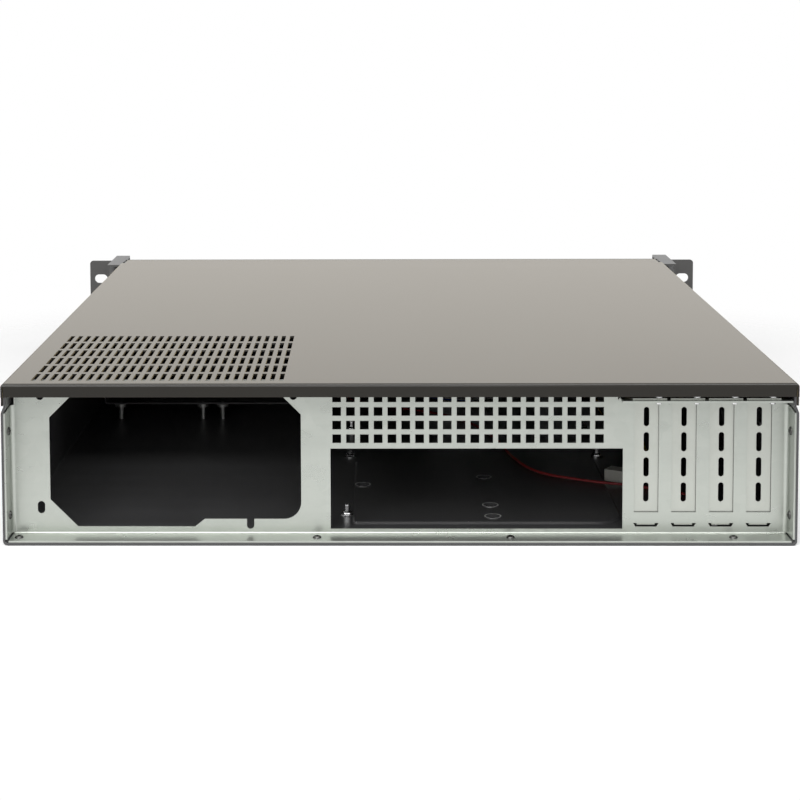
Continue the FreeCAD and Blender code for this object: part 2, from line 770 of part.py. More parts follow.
def frontPanel():
    rear = yEars
    front = yEars - frontPlate
    high = coverUnder - coverGap
    plate = block(-halfWidth + frontPlateEdge, halfWidth - frontPlateEdge, front, rear, frontPlateEdge, high)
    rim = [e for e in plate.Edges if all(abs(v.Y - front) < 0.01 for v in e.Vertexes)]
    plate = plate.makeChamfer(0.5, rim)
    cuts = [bayCut(front - 1, frontPlate + 2, bayLowZ)]
    for x in fanCentres:
        for column in range(frontSlotColumns):
            for row in range(frontSlotRows):
                cx = x + (column - (frontSlotColumns - 1) / 2) * frontSlotPitchX
                cz = fanCentreZ + (row - (frontSlotRows - 1) / 2) * frontSlotPitchZ
                cuts.append(block(cx - frontSlotWide / 2, cx + frontSlotWide / 2, front - 1, rear + 1,
                                  cz - frontSlotLong / 2, cz + frontSlotLong / 2))
        for hole in fanHoles(x, front - 1, frontPlate + 2):
            cuts.append(hole)
        half = fanHolePitch / 2
        for dx in (-half, half):
            for dz in (-half, half):
                cuts.append(fanCone(x + dx, fanCentreZ + dz))
    for spot, wide in ((powerButtonSpot, powerButtonWide), (resetButtonSpot, resetButtonWide)):
        cuts.append(rod(controlCentreX + spot[0], front - 1, controlCentreZ + spot[1], wide + 2 * buttonGap,
                        frontPlate + 2, (0, 1, 0)))
    for dx, dz in ledSpots:
        cuts.append(rod(controlCentreX + dx, front - 1, controlCentreZ + dz, ledBore, frontPlate + 2, (0, 1, 0)))
    for dx, dz in usbSpots:
        cuts.append(block(controlCentreX + dx - usbWide / 2, controlCentreX + dx + usbWide / 2, front - 1, rear + 1,
                          controlCentreZ + dz - usbTall / 2, controlCentreZ + dz + usbTall / 2))
    return plate.cut(Part.makeCompound(cuts))


def fanCone(x, z):
    return Part.makeCone(fanHoleBore / 2 + 1.6, fanHoleBore / 2, 1.6, Vector(x, yEars - frontPlate, z),
                         Vector(0, 1, 0))


def fanScrews():
    screws = []
    half = fanHolePitch / 2
    for x in fanCentres:
        for dx in (-half, half):
            for dz in (-half, half):
                shank = rod(x + dx, yEars - frontPlate, fanCentreZ + dz, fanHoleBore - 0.1, fanScrewReach, (0, 1, 0))
                screws.append(joined([fanCone(x + dx, fanCentreZ + dz), shank]))
    return screws


def driveBayBlank():
    low = bayLowZ + bayGap
    high = bayLowZ + bayTall - bayGap
    half = bayWide / 2 - bayGap
    face = block(bayCentreX - half, bayCentreX + half, yEars - frontPlate, yEars + 6, low, high)
    rim = [e for e in face.Edges if all(abs(v.Y - yEars + frontPlate) < 0.01 for v in e.Vertexes)]
    face = face.makeFillet(0.8, rim)
    hollow = block(bayCentreX - half + 2, bayCentreX + half - 2, yEars, yEars + 7, low + 2, high - 2)
    return face.cut(hollow)


# ---- rack ears with handles ----

def rackEar(side):
    inner, outer = side * halfWidth, side * (halfWidth + handleWide)
    back = yEars + handleBack
    front = yEars - handleReach
    box = block(inner, outer, front, back, earLow, earTop)
    vertical = [e for e in box.Edges if all(abs(v.Y - front) < 0.01 for v in e.Vertexes)
                and abs(e.Vertexes[0].Z - e.Vertexes[1].Z) > 1]
    flat = [e for e in box.Edges if all(abs(v.Y - front) < 0.01 for v in e.Vertexes)
            and abs(e.Vertexes[0].X - e.Vertexes[1].X) > 1]
    box = box.makeFillet(handleBend, vertical + flat)
    hollow = block(inner + side * handleSheet, outer - side * handleSheet, front + handleSheet, back + 1,
                   earLow + handleSheet, earTop - handleSheet)
    openInner = block(inner - side * 1, inner + side * (handleSheet + 1), front + handleSheet + 1.5,
                      yEars - frontPlate, earLow + handleSheet, earTop - handleSheet)
    fingers = roundedFace(rectangle(front + fingerFront, yEars - fingerBack, fingerLow, fingerHigh), [4] * 4,
                          planYZ(outer - side * (handleSheet + 1)))
    fingers = fingers.extrude(Vector(side * (handleSheet + 3), 0, 0))
    box = without(box, [hollow, openInner, fingers])
    plate = earOutline(side, outer)
    ear = joined([box, plate])
    cuts = []
    for z in rackSlotZs:
        slot = obroundFace(side * rackSlotSpacing / 2, z, rackSlotLong, rackSlotWide, False, planXZ(yEars + 1))
        cuts.append(slot.extrude(Vector(0, -earPlate - 2, 0)))
    for z in earScrewZs:
        cuts.append(rod(inner - side, atDepth(earScrewDepth), z, earScrewBore, handleSheet + 2, (side, 0, 0)))
    return without(ear, cuts)


def earOutline(side, inner):
    edge = side * rackWidth / 2
    corners = rectangle(min(inner, edge), max(inner, edge), earLow, earTop)
    outerTurn = earCorner
    radii = [0, outerTurn, outerTurn, 0] if side > 0 else [outerTurn, 0, 0, outerTurn]
    return roundedFace(corners, radii, planXZ(yEars)).extrude(Vector(0, -earPlate, 0))


def earScrews():
    screws = []
    for side in (-1, 1):
        for z in earScrewZs:
            x = side * (halfWidth + handleSheet)
            screw = panHead(0, 0, 0, earScrewHead, 2.0, earScrewBore - 0.1, 6.0)
            screw = turned(screw, Vector(0, 0, 0), Vector(0, 1, 0), 90 * side)
            screw.translate(Vector(x, atDepth(earScrewDepth), z))
            screws.append(screw)
    return screws


# ---- drive cage ----

def driveCage():
    left, right = bayCentreX - cageWide / 2, bayCentreX + cageWide / 2
    path = [(left + cageTopFlange, cageTop), (left, cageTop), (left, cageLow), (right, cageLow),
            (right, cageTop), (right - cageTopFlange, cageTop)]
    length = atDepth(cageRear) - yFrameInside
    cage = foldedFace(path, cageSheet, bendInside, planXZ(yFrameInside)).extrude(Vector(0, length, 0))
    cuts = []
    # lightening cut-outs in the floor of the cage and its side walls
    for across in (-1, 1):
        x = bayCentreX + across * 36
        cuts.append(roundedFace(rectangle(x - 24, x + 24, yFrameInside + 55, atDepth(cageRear) - 16), [6] * 4,
                                planXY(cageLow - 1)).extrude(Vector(0, 0, 3)))
    for low in (cageLow + 9, bayLowZ + 12):
        for step in range(3):
            y = yFrameInside + 42 + step * 52
            cuts.append(obroundFace(y, low + 4, 34, 4.0, False, planYZ(left - 1)).extrude(Vector(cageWide + 2, 0, 0)))
    for offset in pillarOffsets:
        for y in pillarRows():
            cuts.append(rod(bayCentreX + offset, y, cageLow - 1, 2.6, 4, (0, 0, 1)))
    return without(cage, cuts)


def pillarRows():
    return (atDepth(cageRear + pillarInset), atDepth(pillarFrontDepth))


def cagePillars():
    made = []
    for offset in pillarOffsets:
        for y in pillarRows():
            x = bayCentreX + offset
            tall = cageLow - floorTop
            body = Part.makeCylinder(pillarBody / 2, tall, Vector(x, y, floorTop))
            head = Part.makeCylinder(pillarHead / 2, pillarHeadHigh, Vector(x, y, cageLow - pillarHeadHigh))
            stud = Part.makeCylinder(1.3, cageSheet, Vector(x, y, cageLow))
            made.append(joined([body, head, stud]))
    return made


def cageRails():
    rails = []
    for side in (-1, 1):
        wall = bayCentreX + side * (cageWide / 2 - cageSheet)
        inner = wall - side * railShelf
        top = bayLowZ
        path = [(inner, top), (wall, top), (wall, top - 8)]
        if side < 0:
            path = path[::-1]
        section = foldedFace(path[::-1], railSheet, 0.6, planXZ(yFrameInside + 12))
        rails.append(section.extrude(Vector(0, 150, 0)))
    return rails


# ---- fans ----

def fanFrame(x):
    rear = yFrameInside
    half = fanSize / 2
    body = roundedFace(rectangle(x - half, x + half, fanCentreZ - half, fanCentreZ + half), [4] * 4,
                       planXZ(rear)).extrude(Vector(0, fanDeep, 0))
    duct = rod(x, rear - 1, fanCentreZ, fanBore, fanDeep + 2, (0, 1, 0))
    body = body.cut(duct)
    # cut-away flanks between the two flanges
    cuts = fanHoles(x, rear - 1, fanDeep + 2)
    for turn in range(4):
        slot = block(x - 27, x + 27, rear + 4, rear + fanDeep - 4, fanCentreZ + fanBore / 2 + 0.8, fanCentreZ + half + 1)
        cuts.append(turned(slot, Vector(x, rear, fanCentreZ), Vector(0, 1, 0), 90 * turn))
    body = without(body, cuts)
    # motor base on four struts, on the side away from the front panel
    base = rod(x, rear + fanDeep - 4, fanCentreZ, fanHub - 2, 4, (0, 1, 0))
    pieces = [body, base]
    for turn in range(4):
        strut = block(x - 2, x + 2, rear + fanDeep - 4, rear + fanDeep, fanCentreZ + fanHub / 2 - 3,
                      fanCentreZ + fanBore / 2 + 0.4)
        pieces.append(turned(strut, Vector(x, rear, fanCentreZ), Vector(0, 1, 0), 45 + 90 * turn))
    post = rod(x, rear + 9, fanCentreZ, 9.0, fanDeep - 12, (0, 1, 0))
    bore = rod(x, rear + 8, fanCentreZ, fanShaft + 2 * fanRunGap, fanDeep - 10, (0, 1, 0))
    return joined(pieces + [post]).cut(bore)


def fanRotor(x):
    front = yFrameInside + 2
    deep = fanDeep - 8
    centre = Vector(x, front, fanCentreZ)
    cup = rod(x, front, fanCentreZ, fanHub, deep, (0, 1, 0))
    rim = [e for e in cup.Edges if abs(e.CenterOfMass.y - front) < 0.01 and e.Length > 20]
    cup = cup.makeChamfer(1.5, rim)
    cup = cup.cut(rod(x, front + 2, fanCentreZ, fanHub - 4, deep, (0, 1, 0)))
    shaft = rod(x, front + 1, fanCentreZ, fanShaft, deep - 2, (0, 1, 0))
    pieces = [cup, shaft]
    tip = fanBore / 2 - fanBladeGap
    swept = rod(x, front + 0.5, fanCentreZ, 2 * tip, deep - 1, (0, 1, 0))
    for i in range(fanBlades):
        middle = front + deep / 2
        blade = block(x - fanBladeChord / 2, x + fanBladeChord / 2, middle - fanBladeSheet / 2,
                      middle + fanBladeSheet / 2, fanCentreZ + fanHub / 2 - 1, fanCentreZ + tip + 2)
        blade = turned(blade, Vector(x, middle, fanCentreZ), Vector(0, 0, 1), fanBladePitch)
        blade = blade.common(swept)
        pieces.append(turned(blade, centre, Vector(0, 1, 0), 360.0 / fanBlades * i))
    return joined(pieces)


# ---- controls behind the front panel ----

def boardFace():
    return yFrameInside + boardBehind


def controlBoard():
    face = boardFace()
    board = block(controlCentreX - boardWide / 2, controlCentreX + boardWide / 2, face, face + boardSheet,
                  controlCentreZ - boardTall / 2, controlCentreZ + boardTall / 2)
    return board


def boardSpacers():
    made = []
    for dx in (-1, 1):
        for dz in (-1, 1):
            x = controlCentreX + dx * (boardWide / 2 - spacerInset)
            z = controlCentreZ + dz * (boardTall / 2 - spacerInset)
            made.append(rod(x, yFrameInside, z, spacerWide, boardBehind, (0, 1, 0)))
    return made


def pushSwitch(spot):
    x, z = controlCentreX + spot[0], controlCentreZ + spot[1]
    face = boardFace()
    half = switchSize / 2
    body = block(x - half, x + half, face - switchDeep, face, z - half, z + half)
    return body.cut(rod(x, face - switchDeep - 1, z, buttonStem + 2 * buttonGap, switchStemDeep + 2.6, (0, 1, 0)))


def pushButton(spot, wide):
    x, z = controlCentreX + spot[0], controlCentreZ + spot[1]
    front = yEars - frontPlate - buttonStand
    seat = yEars
    cap = rod(x, front, z, wide, seat - front + 0.2, (0, 1, 0))
    rim = [e for e in cap.Edges if abs(e.CenterOfMass.y - front) < 0.01 and e.Length > 3]
    cap = cap.makeChamfer(0.5, rim)
    flange = rod(x, seat + 0.2, z, wide + 2 * buttonFlange, buttonFlangeHigh, (0, 1, 0))
    stemEnd = boardFace() - switchDeep + switchStemDeep - buttonTravel
    stem = rod(x, seat + 0.2, z, buttonStem, stemEnd - seat - 0.2, (0, 1, 0))
    return joined([cap, flange, stem])


def indicatorLeds():
    made = []
    for dx, dz in ledSpots:
        x, z = controlCentreX + dx, controlCentreZ + dz
        front = yEars - frontPlate
        lens = Part.makeCylinder(1.5, boardFace() - front - 0.4, Vector(x, front + 0.4, z), Vector(0, 1, 0))
        base = rod(x, boardFace() - 3, z, 4.0, 3, (0, 1, 0))
        made.append(joined([lens, base]))
    return made


def usbSockets():
    made = []
    for dx, dz in usbSpots:
        x, z = controlCentreX + dx, controlCentreZ + dz
        front = boardFace() - usbDeep
        w, t = usbWide / 2 - 0.2, usbTall / 2 - 0.2
        shell = block(x - w, x + w, front, boardFace(), z - t, z + t)
        mouth = block(x - w + usbWall, x + w - usbWall, front - 1, boardFace() - 3, z - t + usbWall, z + t - usbWall)
        tongue = block(x - 0.9, x + 0.9, front + 1, boardFace() - 2.5, z - t + 1.6, z + t - 1.6)
        made.append(joined([shell.cut(mouth), tongue]))
    return made


def boardHeader():
    x, z = controlCentreX + headerSpot[0], controlCentreZ + headerSpot[1]
    wide, tall, deep = headerSize
    back = boardFace() + boardSheet
    return block(x - wide / 2, x + wide / 2, back, back + deep, z - tall / 2, z + tall / 2)


# ---- leads: straight runs joined by tangent arcs ----

def leadTube(name, points, diameter):
    places = [Vector(x, atDepth(depth), z) for x, depth, z in points]
    cuts = []
    radii = []
    for i in range(1, len(places) - 1):
        here = places[i]
        before, after = places[i - 1] - here, places[i + 1] - here
        shorter = min(before.Length, after.Length)
        turn = math.pi - before.getAngle(after)
        setback = 0.45 * shorter
        radius = setback / math.tan(turn / 2)
        radii.append(round(radius, 1))
        one, two = before.normalize(), after.normalize()
        bow = radius / math.cos(turn / 2) - radius
        cuts.append((here + one * setback, here + (one + two).normalize() * bow, here + two * setback))
    edges = []
    last = places[0]
    for start, middle, end in cuts:
        edges.append(Part.LineSegment(last, start).toShape())
        edges.append(Part.Arc(start, middle, end).toShape())
        last = end
    edges.append(Part.LineSegment(last, places[-1]).toShape())
    path = Part.Wire(edges)
    ring = Part.Wire([Part.makeCircle(diameter / 2, places[0], places[1] - places[0])])
    tube = path.makePipeShell([ring], True, False)
    expected = math.pi * diameter * diameter / 4 * path.Length
    print(name, "radii", radii, "length", round(path.Length, 1),
          "volume ratio", round(tube.Volume / expected, 4))
    return tube


headerZ = controlCentreZ + headerSpot[1]
headerX = controlCentreX + headerSpot[0]
headerDepth = bodyDepth - frameSheet - boardBehind - boardSheet - headerSize[2]
powerLow = floorTop + powerLeadWide / 2 + leadLift
powerHigh = powerLow + embossRise
ledLow = floorTop + ledLeadWide / 2 + leadLift
fanLow = floorTop + fanLeadWide / 2 + leadLift

# x, distance forward of the rear edge, z
powerRoute = [
    (headerX + 2.5, headerDepth, headerZ), (headerX + 3.0, headerDepth - 14.0, headerZ - 0.6),
    (headerX + 4.0, headerDepth - 27.0, powerLow + 1.6), (headerX + 9.0, headerDepth - 43.0, powerLow),
    (headerX + 19.0, headerDepth - 68.0, powerLow), (headerX + 16.0, headerDepth - 98.0, powerLow),
    (headerX - 6.0, headerDepth - 126.0, powerLow), (-34.0, 304.0, powerLow), (-58.0, 266.0, powerLow),
    (-69.0, 222.0, powerLow), (-72.8, 190.0, powerLow + 0.1), (-75.5, 171.0, powerHigh),
    (-82.0, 147.0, powerHigh), (-93.0, 131.5, powerHigh), (-108.0, 122.5, powerHigh),
    (-121.0, 114.8, powerHigh), (-136.0, 112.0, powerLow + 0.7), (-150.0, 106.5, powerLow),
    (-163.0, 99.0, powerLow), (-172.0, 90.0, powerLow),
]
ledRoute = [
    (headerX - 2.5, headerDepth, headerZ), (headerX - 3.0, headerDepth - 15.0, headerZ - 0.8),
    (headerX - 5.5, headerDepth - 31.0, ledLow + 2.2), (headerX - 12.0, headerDepth - 49.0, ledLow),
    (headerX - 28.0, headerDepth - 76.0, ledLow), (headerX - 52.0, headerDepth - 106.0, ledLow),
    (headerX - 84.0, headerDepth - 116.0, ledLow), (headerX - 108.0, headerDepth - 92.0, ledLow),
    (headerX - 112.0, headerDepth - 66.0, ledLow),
]
fanExitX = fanCentres[0] + fanSize / 2 - 6
fanExitDepth = bodyDepth - frameSheet - fanDeep
fanRoute = [
    (fanExitX, fanExitDepth, 7.4), (fanExitX - 1.0, fanExitDepth - 14.0, 6.6),
    (fanExitX - 5.0, fanExitDepth - 32.0, fanLow + 0.2), (fanExitX - 13.0, fanExitDepth - 56.0, fanLow),
    (fanExitX - 26.0, fanExitDepth - 82.0, fanLow), (fanExitX - 32.0, fanExitDepth - 112.0, fanLow),
    (fanExitX - 28.0, fanExitDepth - 144.0, fanLow), (fanExitX - 33.0, fanExitDepth - 176.0, fanLow),
    (fanExitX - 43.0, fanExitDepth - 206.0, fanLow), (fanExitX - 45.0, fanExitDepth - 236.0, fanLow),
    (-161.0, 191.0, fanLow), (-168.0, 170.0, fanLow), (-172.0, 151.0, fanLow), (-173.5, 133.0, fanLow + 0.2),
    (-168.0, 118.5, fanLow + 0.9), (-155.8, 114.15, fanLow + 0.9), (-147.4, 119.6, fanLow + 0.9),
]


def plugBlock(length, wide, high, corner, direction):
    # connector housing lying on the floor; its tail end is where the lead goes in
    body = block(-length / 2, length / 2, -wide / 2, wide / 2, 0, high)
    upright = [e for e in body.Edges if abs(e.Vertexes[0].Z - e.Vertexes[1].Z) > 1]
    body = body.makeChamfer(corner, upright[:2])
    body.rotate(Vector(0, 0, 0), Vector(0, 0, 1), direction)
    return body


def leadEnd(route):
    last, before = route[-1], route[-2]
    end = Vector(last[0], atDepth(last[1]), last[2])
    along = (end - Vector(before[0], atDepth(before[1]), before[2])).normalize()
    return end, along


def plugOnLead(route, length, wide, high, corner):
    end, along = leadEnd(route)
    level = Vector(along.x, along.y, 0).normalize()
    heading = math.degrees(math.atan2(level.y, level.x))
    body = plugBlock(length, wide, high, corner, heading)
    centre = end + level * (length / 2)
    body.translate(Vector(centre.x, centre.y, floorTop))
    # the housing's tail is squared to the lead, so the two meet face to face
    return body


def squaredRoute(route):
    # the last run lies level, so that the lead meets its housing squarely
    last, before = route[-1], route[-2]
    return route[:-2] + [(before[0], before[1], last[2]), last]


os.makedirs("parts", exist_ok=True)

write("base_tray", baseTray())
write("top_cover", topCover())
write("cover_screws", coverScrews())
write("rear_panel", rearPanel())
for number in range(slotCount):
    write("slot_cover_" + str(number + 1), slotCover(number))
write("slot_cover_screws", slotCoverScrews())
write("rear_rivets", rearRivets())
write("board_standoffs", standoffs())
write("front_frame", frontFrame())
write("front_panel", frontPanel())
write("drive_bay_blank", driveBayBlank())
write("rack_ear_left", rackEar(-1))
write("rack_ear_right", rackEar(1))
write("ear_screws", earScrews())
write("drive_cage", driveCage())
write("cage_pillars", cagePillars())
write("cage_rails", cageRails())
for number, fanX in enumerate(fanCentres):
    write("fan_frame_" + str(number + 1), fanFrame(fanX))
    write("fan_rotor_" + str(number + 1), fanRotor(fanX))
write("fan_screws", fanScrews())
write("control_board", controlBoard())
write("board_spacers", boardSpacers())
write("power_switch", pushSwitch(powerButtonSpot))
write("reset_switch", pushSwitch(resetButtonSpot))
write("power_button", pushButton(powerButtonSpot, powerButtonWide))
write("reset_button", pushButton(resetButtonSpot, resetButtonWide))
write("indicator_leds", indicatorLeds())
write("usb_sockets", usbSockets())
write("board_header", boardHeader())
powerRoute = squaredRoute(powerRoute)
ledRoute = squaredRoute(ledRoute)
fanRoute = squaredRoute(fanRoute)
write("power_lead", leadTube("power_lead", powerRoute, powerLeadWide))
write("power_plug", plugOnLead(powerRoute, 14.0, 5.2, 2 * (powerLow - floorTop), 0.4))
write("led_lead", leadTube("led_lead", ledRoute, ledLeadWide))
write("led_plug", plugOnLead(ledRoute, 14.0, 5.2, 2 * (ledLow - floorTop), 0.4))
write("fan_lead", leadTube("fan_lead", fanRoute, fanLeadWide))
write("fan_plug", plugOnLead(fanRoute, 22.0, 9.7, 7.2, 1.2))
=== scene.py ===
import math
import bmesh
import bpy
from mathutils import Euler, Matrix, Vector


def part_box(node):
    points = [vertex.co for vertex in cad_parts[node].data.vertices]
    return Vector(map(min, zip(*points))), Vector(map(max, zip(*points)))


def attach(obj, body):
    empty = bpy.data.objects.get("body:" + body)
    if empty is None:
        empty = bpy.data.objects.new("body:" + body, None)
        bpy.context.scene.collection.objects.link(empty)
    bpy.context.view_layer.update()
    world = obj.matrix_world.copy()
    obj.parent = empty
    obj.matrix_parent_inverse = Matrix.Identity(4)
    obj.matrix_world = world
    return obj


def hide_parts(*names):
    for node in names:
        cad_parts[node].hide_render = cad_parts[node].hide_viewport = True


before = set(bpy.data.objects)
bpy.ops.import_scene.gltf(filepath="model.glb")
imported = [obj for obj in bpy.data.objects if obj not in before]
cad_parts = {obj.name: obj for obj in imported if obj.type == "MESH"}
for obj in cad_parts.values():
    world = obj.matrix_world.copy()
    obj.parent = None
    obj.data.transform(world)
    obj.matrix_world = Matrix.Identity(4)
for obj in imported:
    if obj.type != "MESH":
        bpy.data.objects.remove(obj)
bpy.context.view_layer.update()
mm = 0.001
print("frame loaded")

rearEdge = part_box("base_tray")[1].y  # rear edge of the base; depths are counted from here
mergeReach = 0.004 * mm  # corners closer than this are one


def atDepth(depth):
    return rearEdge - depth * mm


cameraValues = {
    "place": (0.01184, 1.19974, 0.28865),
    "turn": (85.509, 0.222, 180.786),  # degrees
    "lens": 80.66,
    "sideways": 0.0616,
    "upwards": -0.3157,
}


def makeCamera(values):
    data = bpy.data.cameras.new("rearCamera")
    data.lens = values["lens"]
    data.sensor_width = 36
    data.shift_x = values["sideways"]
    data.shift_y = values["upwards"]
    data.clip_start = 0.05
    data.clip_end = 50
    camera = bpy.data.objects.new("rearCamera", data)
    camera.location = values["place"]
    camera.rotation_euler = Euler([math.radians(a) for a in values["turn"]])
    bpy.context.scene.collection.objects.link(camera)
    bpy.context.scene.camera = camera


makeCamera(cameraValues)
bpy.context.scene.view_settings.view_transform = "Standard"
print("camera placed")


def put(tree, kind, inputs=None, **settings):
    node = tree.nodes.new(kind)
    for key, value in settings.items():
        setattr(node, key, value)
    for key, value in (inputs or {}).items():
        socket = node.inputs[key]
        if isinstance(value, bpy.types.NodeSocket):
            tree.links.new(value, socket)
        else:
            socket.default_value = value
    return node


def mathOf(tree, operation, first, second=0.0):
    return put(tree, "ShaderNodeMath", {0: first, 1: second}, operation=operation).outputs[0]


def ramp(tree, factor, stops):
    node = put(tree, "ShaderNodeValToRGB", {0: factor})
    marks = node.color_ramp.elements
    while len(marks) < len(stops):
        marks.new(0.5)
    for mark, (place, colour) in zip(marks, stops):
        mark.position = place
        mark.color = (*colour, 1)
    return node.outputs[0]


def spread(tree, factor, low, high, fromLow=0.3, fromHigh=0.7):
    values = {"Value": factor, "From Min": fromLow, "From Max": fromHigh, "To Min": low, "To Max": high}
    return put(tree, "ShaderNodeMapRange", values).outputs[0]


def grain(tree, scale, detail=2.0, stretch=(1, 1, 1), rough=0.5):
    place = put(tree, "ShaderNodeTexCoord").outputs["Object"]
    moved = put(tree, "ShaderNodeMapping", {"Vector": place, "Scale": stretch})
    values = {"Vector": moved.outputs[0], "Scale": scale, "Detail": detail, "Roughness": rough}
    return put(tree, "ShaderNodeTexNoise", values).outputs["Fac"]


def newMaterial(name):
    material = bpy.data.materials.new(name)
    material.use_nodes = True
    tree = material.node_tree
    return material, tree, tree.nodes["Principled BSDF"]


def blendColour(tree, factor, first, second):
    node = put(tree, "ShaderNodeMix", data_type="RGBA")
    tree.links.new(factor, node.inputs["Factor"])
    node.inputs[6].default_value = (*first, 1)
    node.inputs[7].default_value = (*second, 1)
    return node.outputs[2]


def varyRoughness(tree, shader, factor, rough, low, high):
    # low and high are shares of the stated roughness
    tree.links.new(spread(tree, factor, rough * low, rough * high), shader.inputs["Roughness"])


def addBump(tree, shader, height, distance, strength=1.0):
    node = put(tree, "ShaderNodeBump", {"Height": height, "Distance": distance, "Strength": strength})
    tree.links.new(node.outputs[0], shader.inputs["Normal"])


dustRough, dustTint = 0.35, (1.0, 0.8, 0.46, 1)
scuffTone = (0.14, 0.14, 0.14, 1)


def powderCoat(name, values):
    # sprayed paint: fine orange peel, faint handling marks
    material, tree, shader = newMaterial(name)
    shader.inputs["Metallic"].default_value = 0
    shader.inputs["IOR"].default_value = values["ior"]
    shader.inputs["Coat Weight"].default_value = values["coat"]
    shader.inputs["Coat Roughness"].default_value = values["coatRough"]
    shader.inputs["Sheen Weight"].default_value = values.get("dust", 0.0)
    shader.inputs["Sheen Roughness"].default_value = dustRough
    shader.inputs["Sheen Tint"].default_value = dustTint
    cloud = grain(tree, 9, 3)
    paint = blendColour(tree, cloud, values["dark"], values["light"])
    scuffFrom, scuffTo = 0.63, 0.7
    streaks = grain(tree, 95, 4, (0.35, 1.8, 1))
    marks = spread(tree, streaks, 0.0, values.get("scuff", 0.0), scuffFrom, scuffTo)
    scuffed = put(tree, "ShaderNodeMix", {"Factor": marks}, data_type="RGBA")
    tree.links.new(paint, scuffed.inputs[6])
    scuffed.inputs[7].default_value = scuffTone
    tree.links.new(scuffed.outputs[2], shader.inputs["Base Color"])
    smear = grain(tree, 22, 4, (1, 0.35, 1))
    varyRoughness(tree, shader, smear, values["rough"], 1 - values["smear"], 1 + values["smear"])
    peel = grain(tree, values["peelScale"], 2)
    addBump(tree, shader, peel, values["peel"] * mm)
    return material


def galvanised(name, values):
    # zinc-coated sheet: soft spangle and a faint rolling direction
    material, tree, shader = newMaterial(name)
    shader.inputs["Metallic"].default_value = values["metal"]
    place = put(tree, "ShaderNodeTexCoord").outputs["Object"]
    bend = put(tree, "ShaderNodeTexNoise", {"Vector": place, "Scale": 90, "Detail": 2}).outputs["Color"]
    shifted = put(tree, "ShaderNodeMix", {"Factor": 0.012}, data_type="RGBA", blend_type="ADD")
    tree.links.new(place, shifted.inputs[6])
    tree.links.new(bend, shifted.inputs[7])
    cells = {"Vector": shifted.outputs[2], "Scale": values["spangle"]}
    spangle = put(tree, "ShaderNodeTexVoronoi", cells, feature="F1").outputs["Color"]
    tone = put(tree, "ShaderNodeSeparateColor", {0: spangle}).outputs[0]
    rolled = grain(tree, 60, 3, values["rolling"])
    mixed = mathOf(tree, "ADD", mathOf(tree, "MULTIPLY", tone, values["spangleShare"]),
                   mathOf(tree, "MULTIPLY", rolled, 1 - values["spangleShare"]))
    tree.links.new(blendColour(tree, mixed, values["dark"], values["light"]), shader.inputs["Base Color"])
    varyRoughness(tree, shader, mixed, values["rough"], 0.85, 1.2)
    addBump(tree, shader, rolled, 0.003 * mm)
    return material


def platedSteel(name, values):
    material, tree, shader = newMaterial(name)
    shader.inputs["Metallic"].default_value = 1
    cloud = grain(tree, values["cloud"], 3)
    tree.links.new(blendColour(tree, cloud, values["dark"], values["light"]), shader.inputs["Base Color"])
    fine = grain(tree, 900, 2)
    varyRoughness(tree, shader, fine, values["rough"], 0.8, 1.25)
    addBump(tree, shader, fine, 0.006 * mm)
    return material


def moulded(name, values):
    # injection-moulded plastic with a fine eroded texture
    material, tree, shader = newMaterial(name)
    shader.inputs["IOR"].default_value = 1.5
    shader.inputs["Subsurface Weight"].default_value = values.get("soft", 0.0)
    shader.inputs["Subsurface Radius"].default_value = (0.001, 0.001, 0.001)
    cloud = grain(tree, 70, 2)
    tree.links.new(blendColour(tree, cloud, values["dark"], values["light"]), shader.inputs["Base Color"])
    fine = grain(tree, 1500, 2)
    varyRoughness(tree, shader, fine, values["rough"], 0.85, 1.15)
    addBump(tree, shader, fine, values.get("texture", 0.02) * mm)
    return material


def wireSleeve(name, values):
    material, tree, shader = newMaterial(name)
    shader.inputs["IOR"].default_value = 1.48
    cloud = grain(tree, 160, 3)
    tree.links.new(blendColour(tree, cloud, values["dark"], values["light"]), shader.inputs["Base Color"])
    tree.links.new(spread(tree, cloud, 0.36, 0.52), shader.inputs["Roughness"])
    addBump(tree, shader, grain(tree, 700, 1), 0.01 * mm)
    return material


def circuitBoard(name, values):
    # solder mask with copper tracks showing through
    material, tree, shader = newMaterial(name)
    place = put(tree, "ShaderNodeTexCoord").outputs["Object"]
    cells = put(tree, "ShaderNodeTexVoronoi", {"Vector": place, "Scale": 260}, distance="MANHATTAN")
    tracks = ramp(tree, cells.outputs["Distance"], [(0.42, (0, 0, 0)), (0.46, (1, 1, 1))])
    tree.links.new(blendColour(tree, tracks, values["dark"], values["light"]), shader.inputs["Base Color"])
    tree.links.new(spread(tree, grain(tree, 90), 0.25, 0.4), shader.inputs["Roughness"])
    addBump(tree, shader, tracks, 0.03 * mm)
    return material


def clearLens(name, values):
    material, tree, shader = newMaterial(name)
    shader.inputs["IOR"].default_value = 1.5
    shader.inputs["Transmission Weight"].default_value = 0.7
    cloud = grain(tree, 400, 1)
    tree.links.new(blendColour(tree, cloud, values["dark"], values["light"]), shader.inputs["Base Color"])
    tree.links.new(spread(tree, cloud, 0.12, 0.25), shader.inputs["Roughness"])
    return material


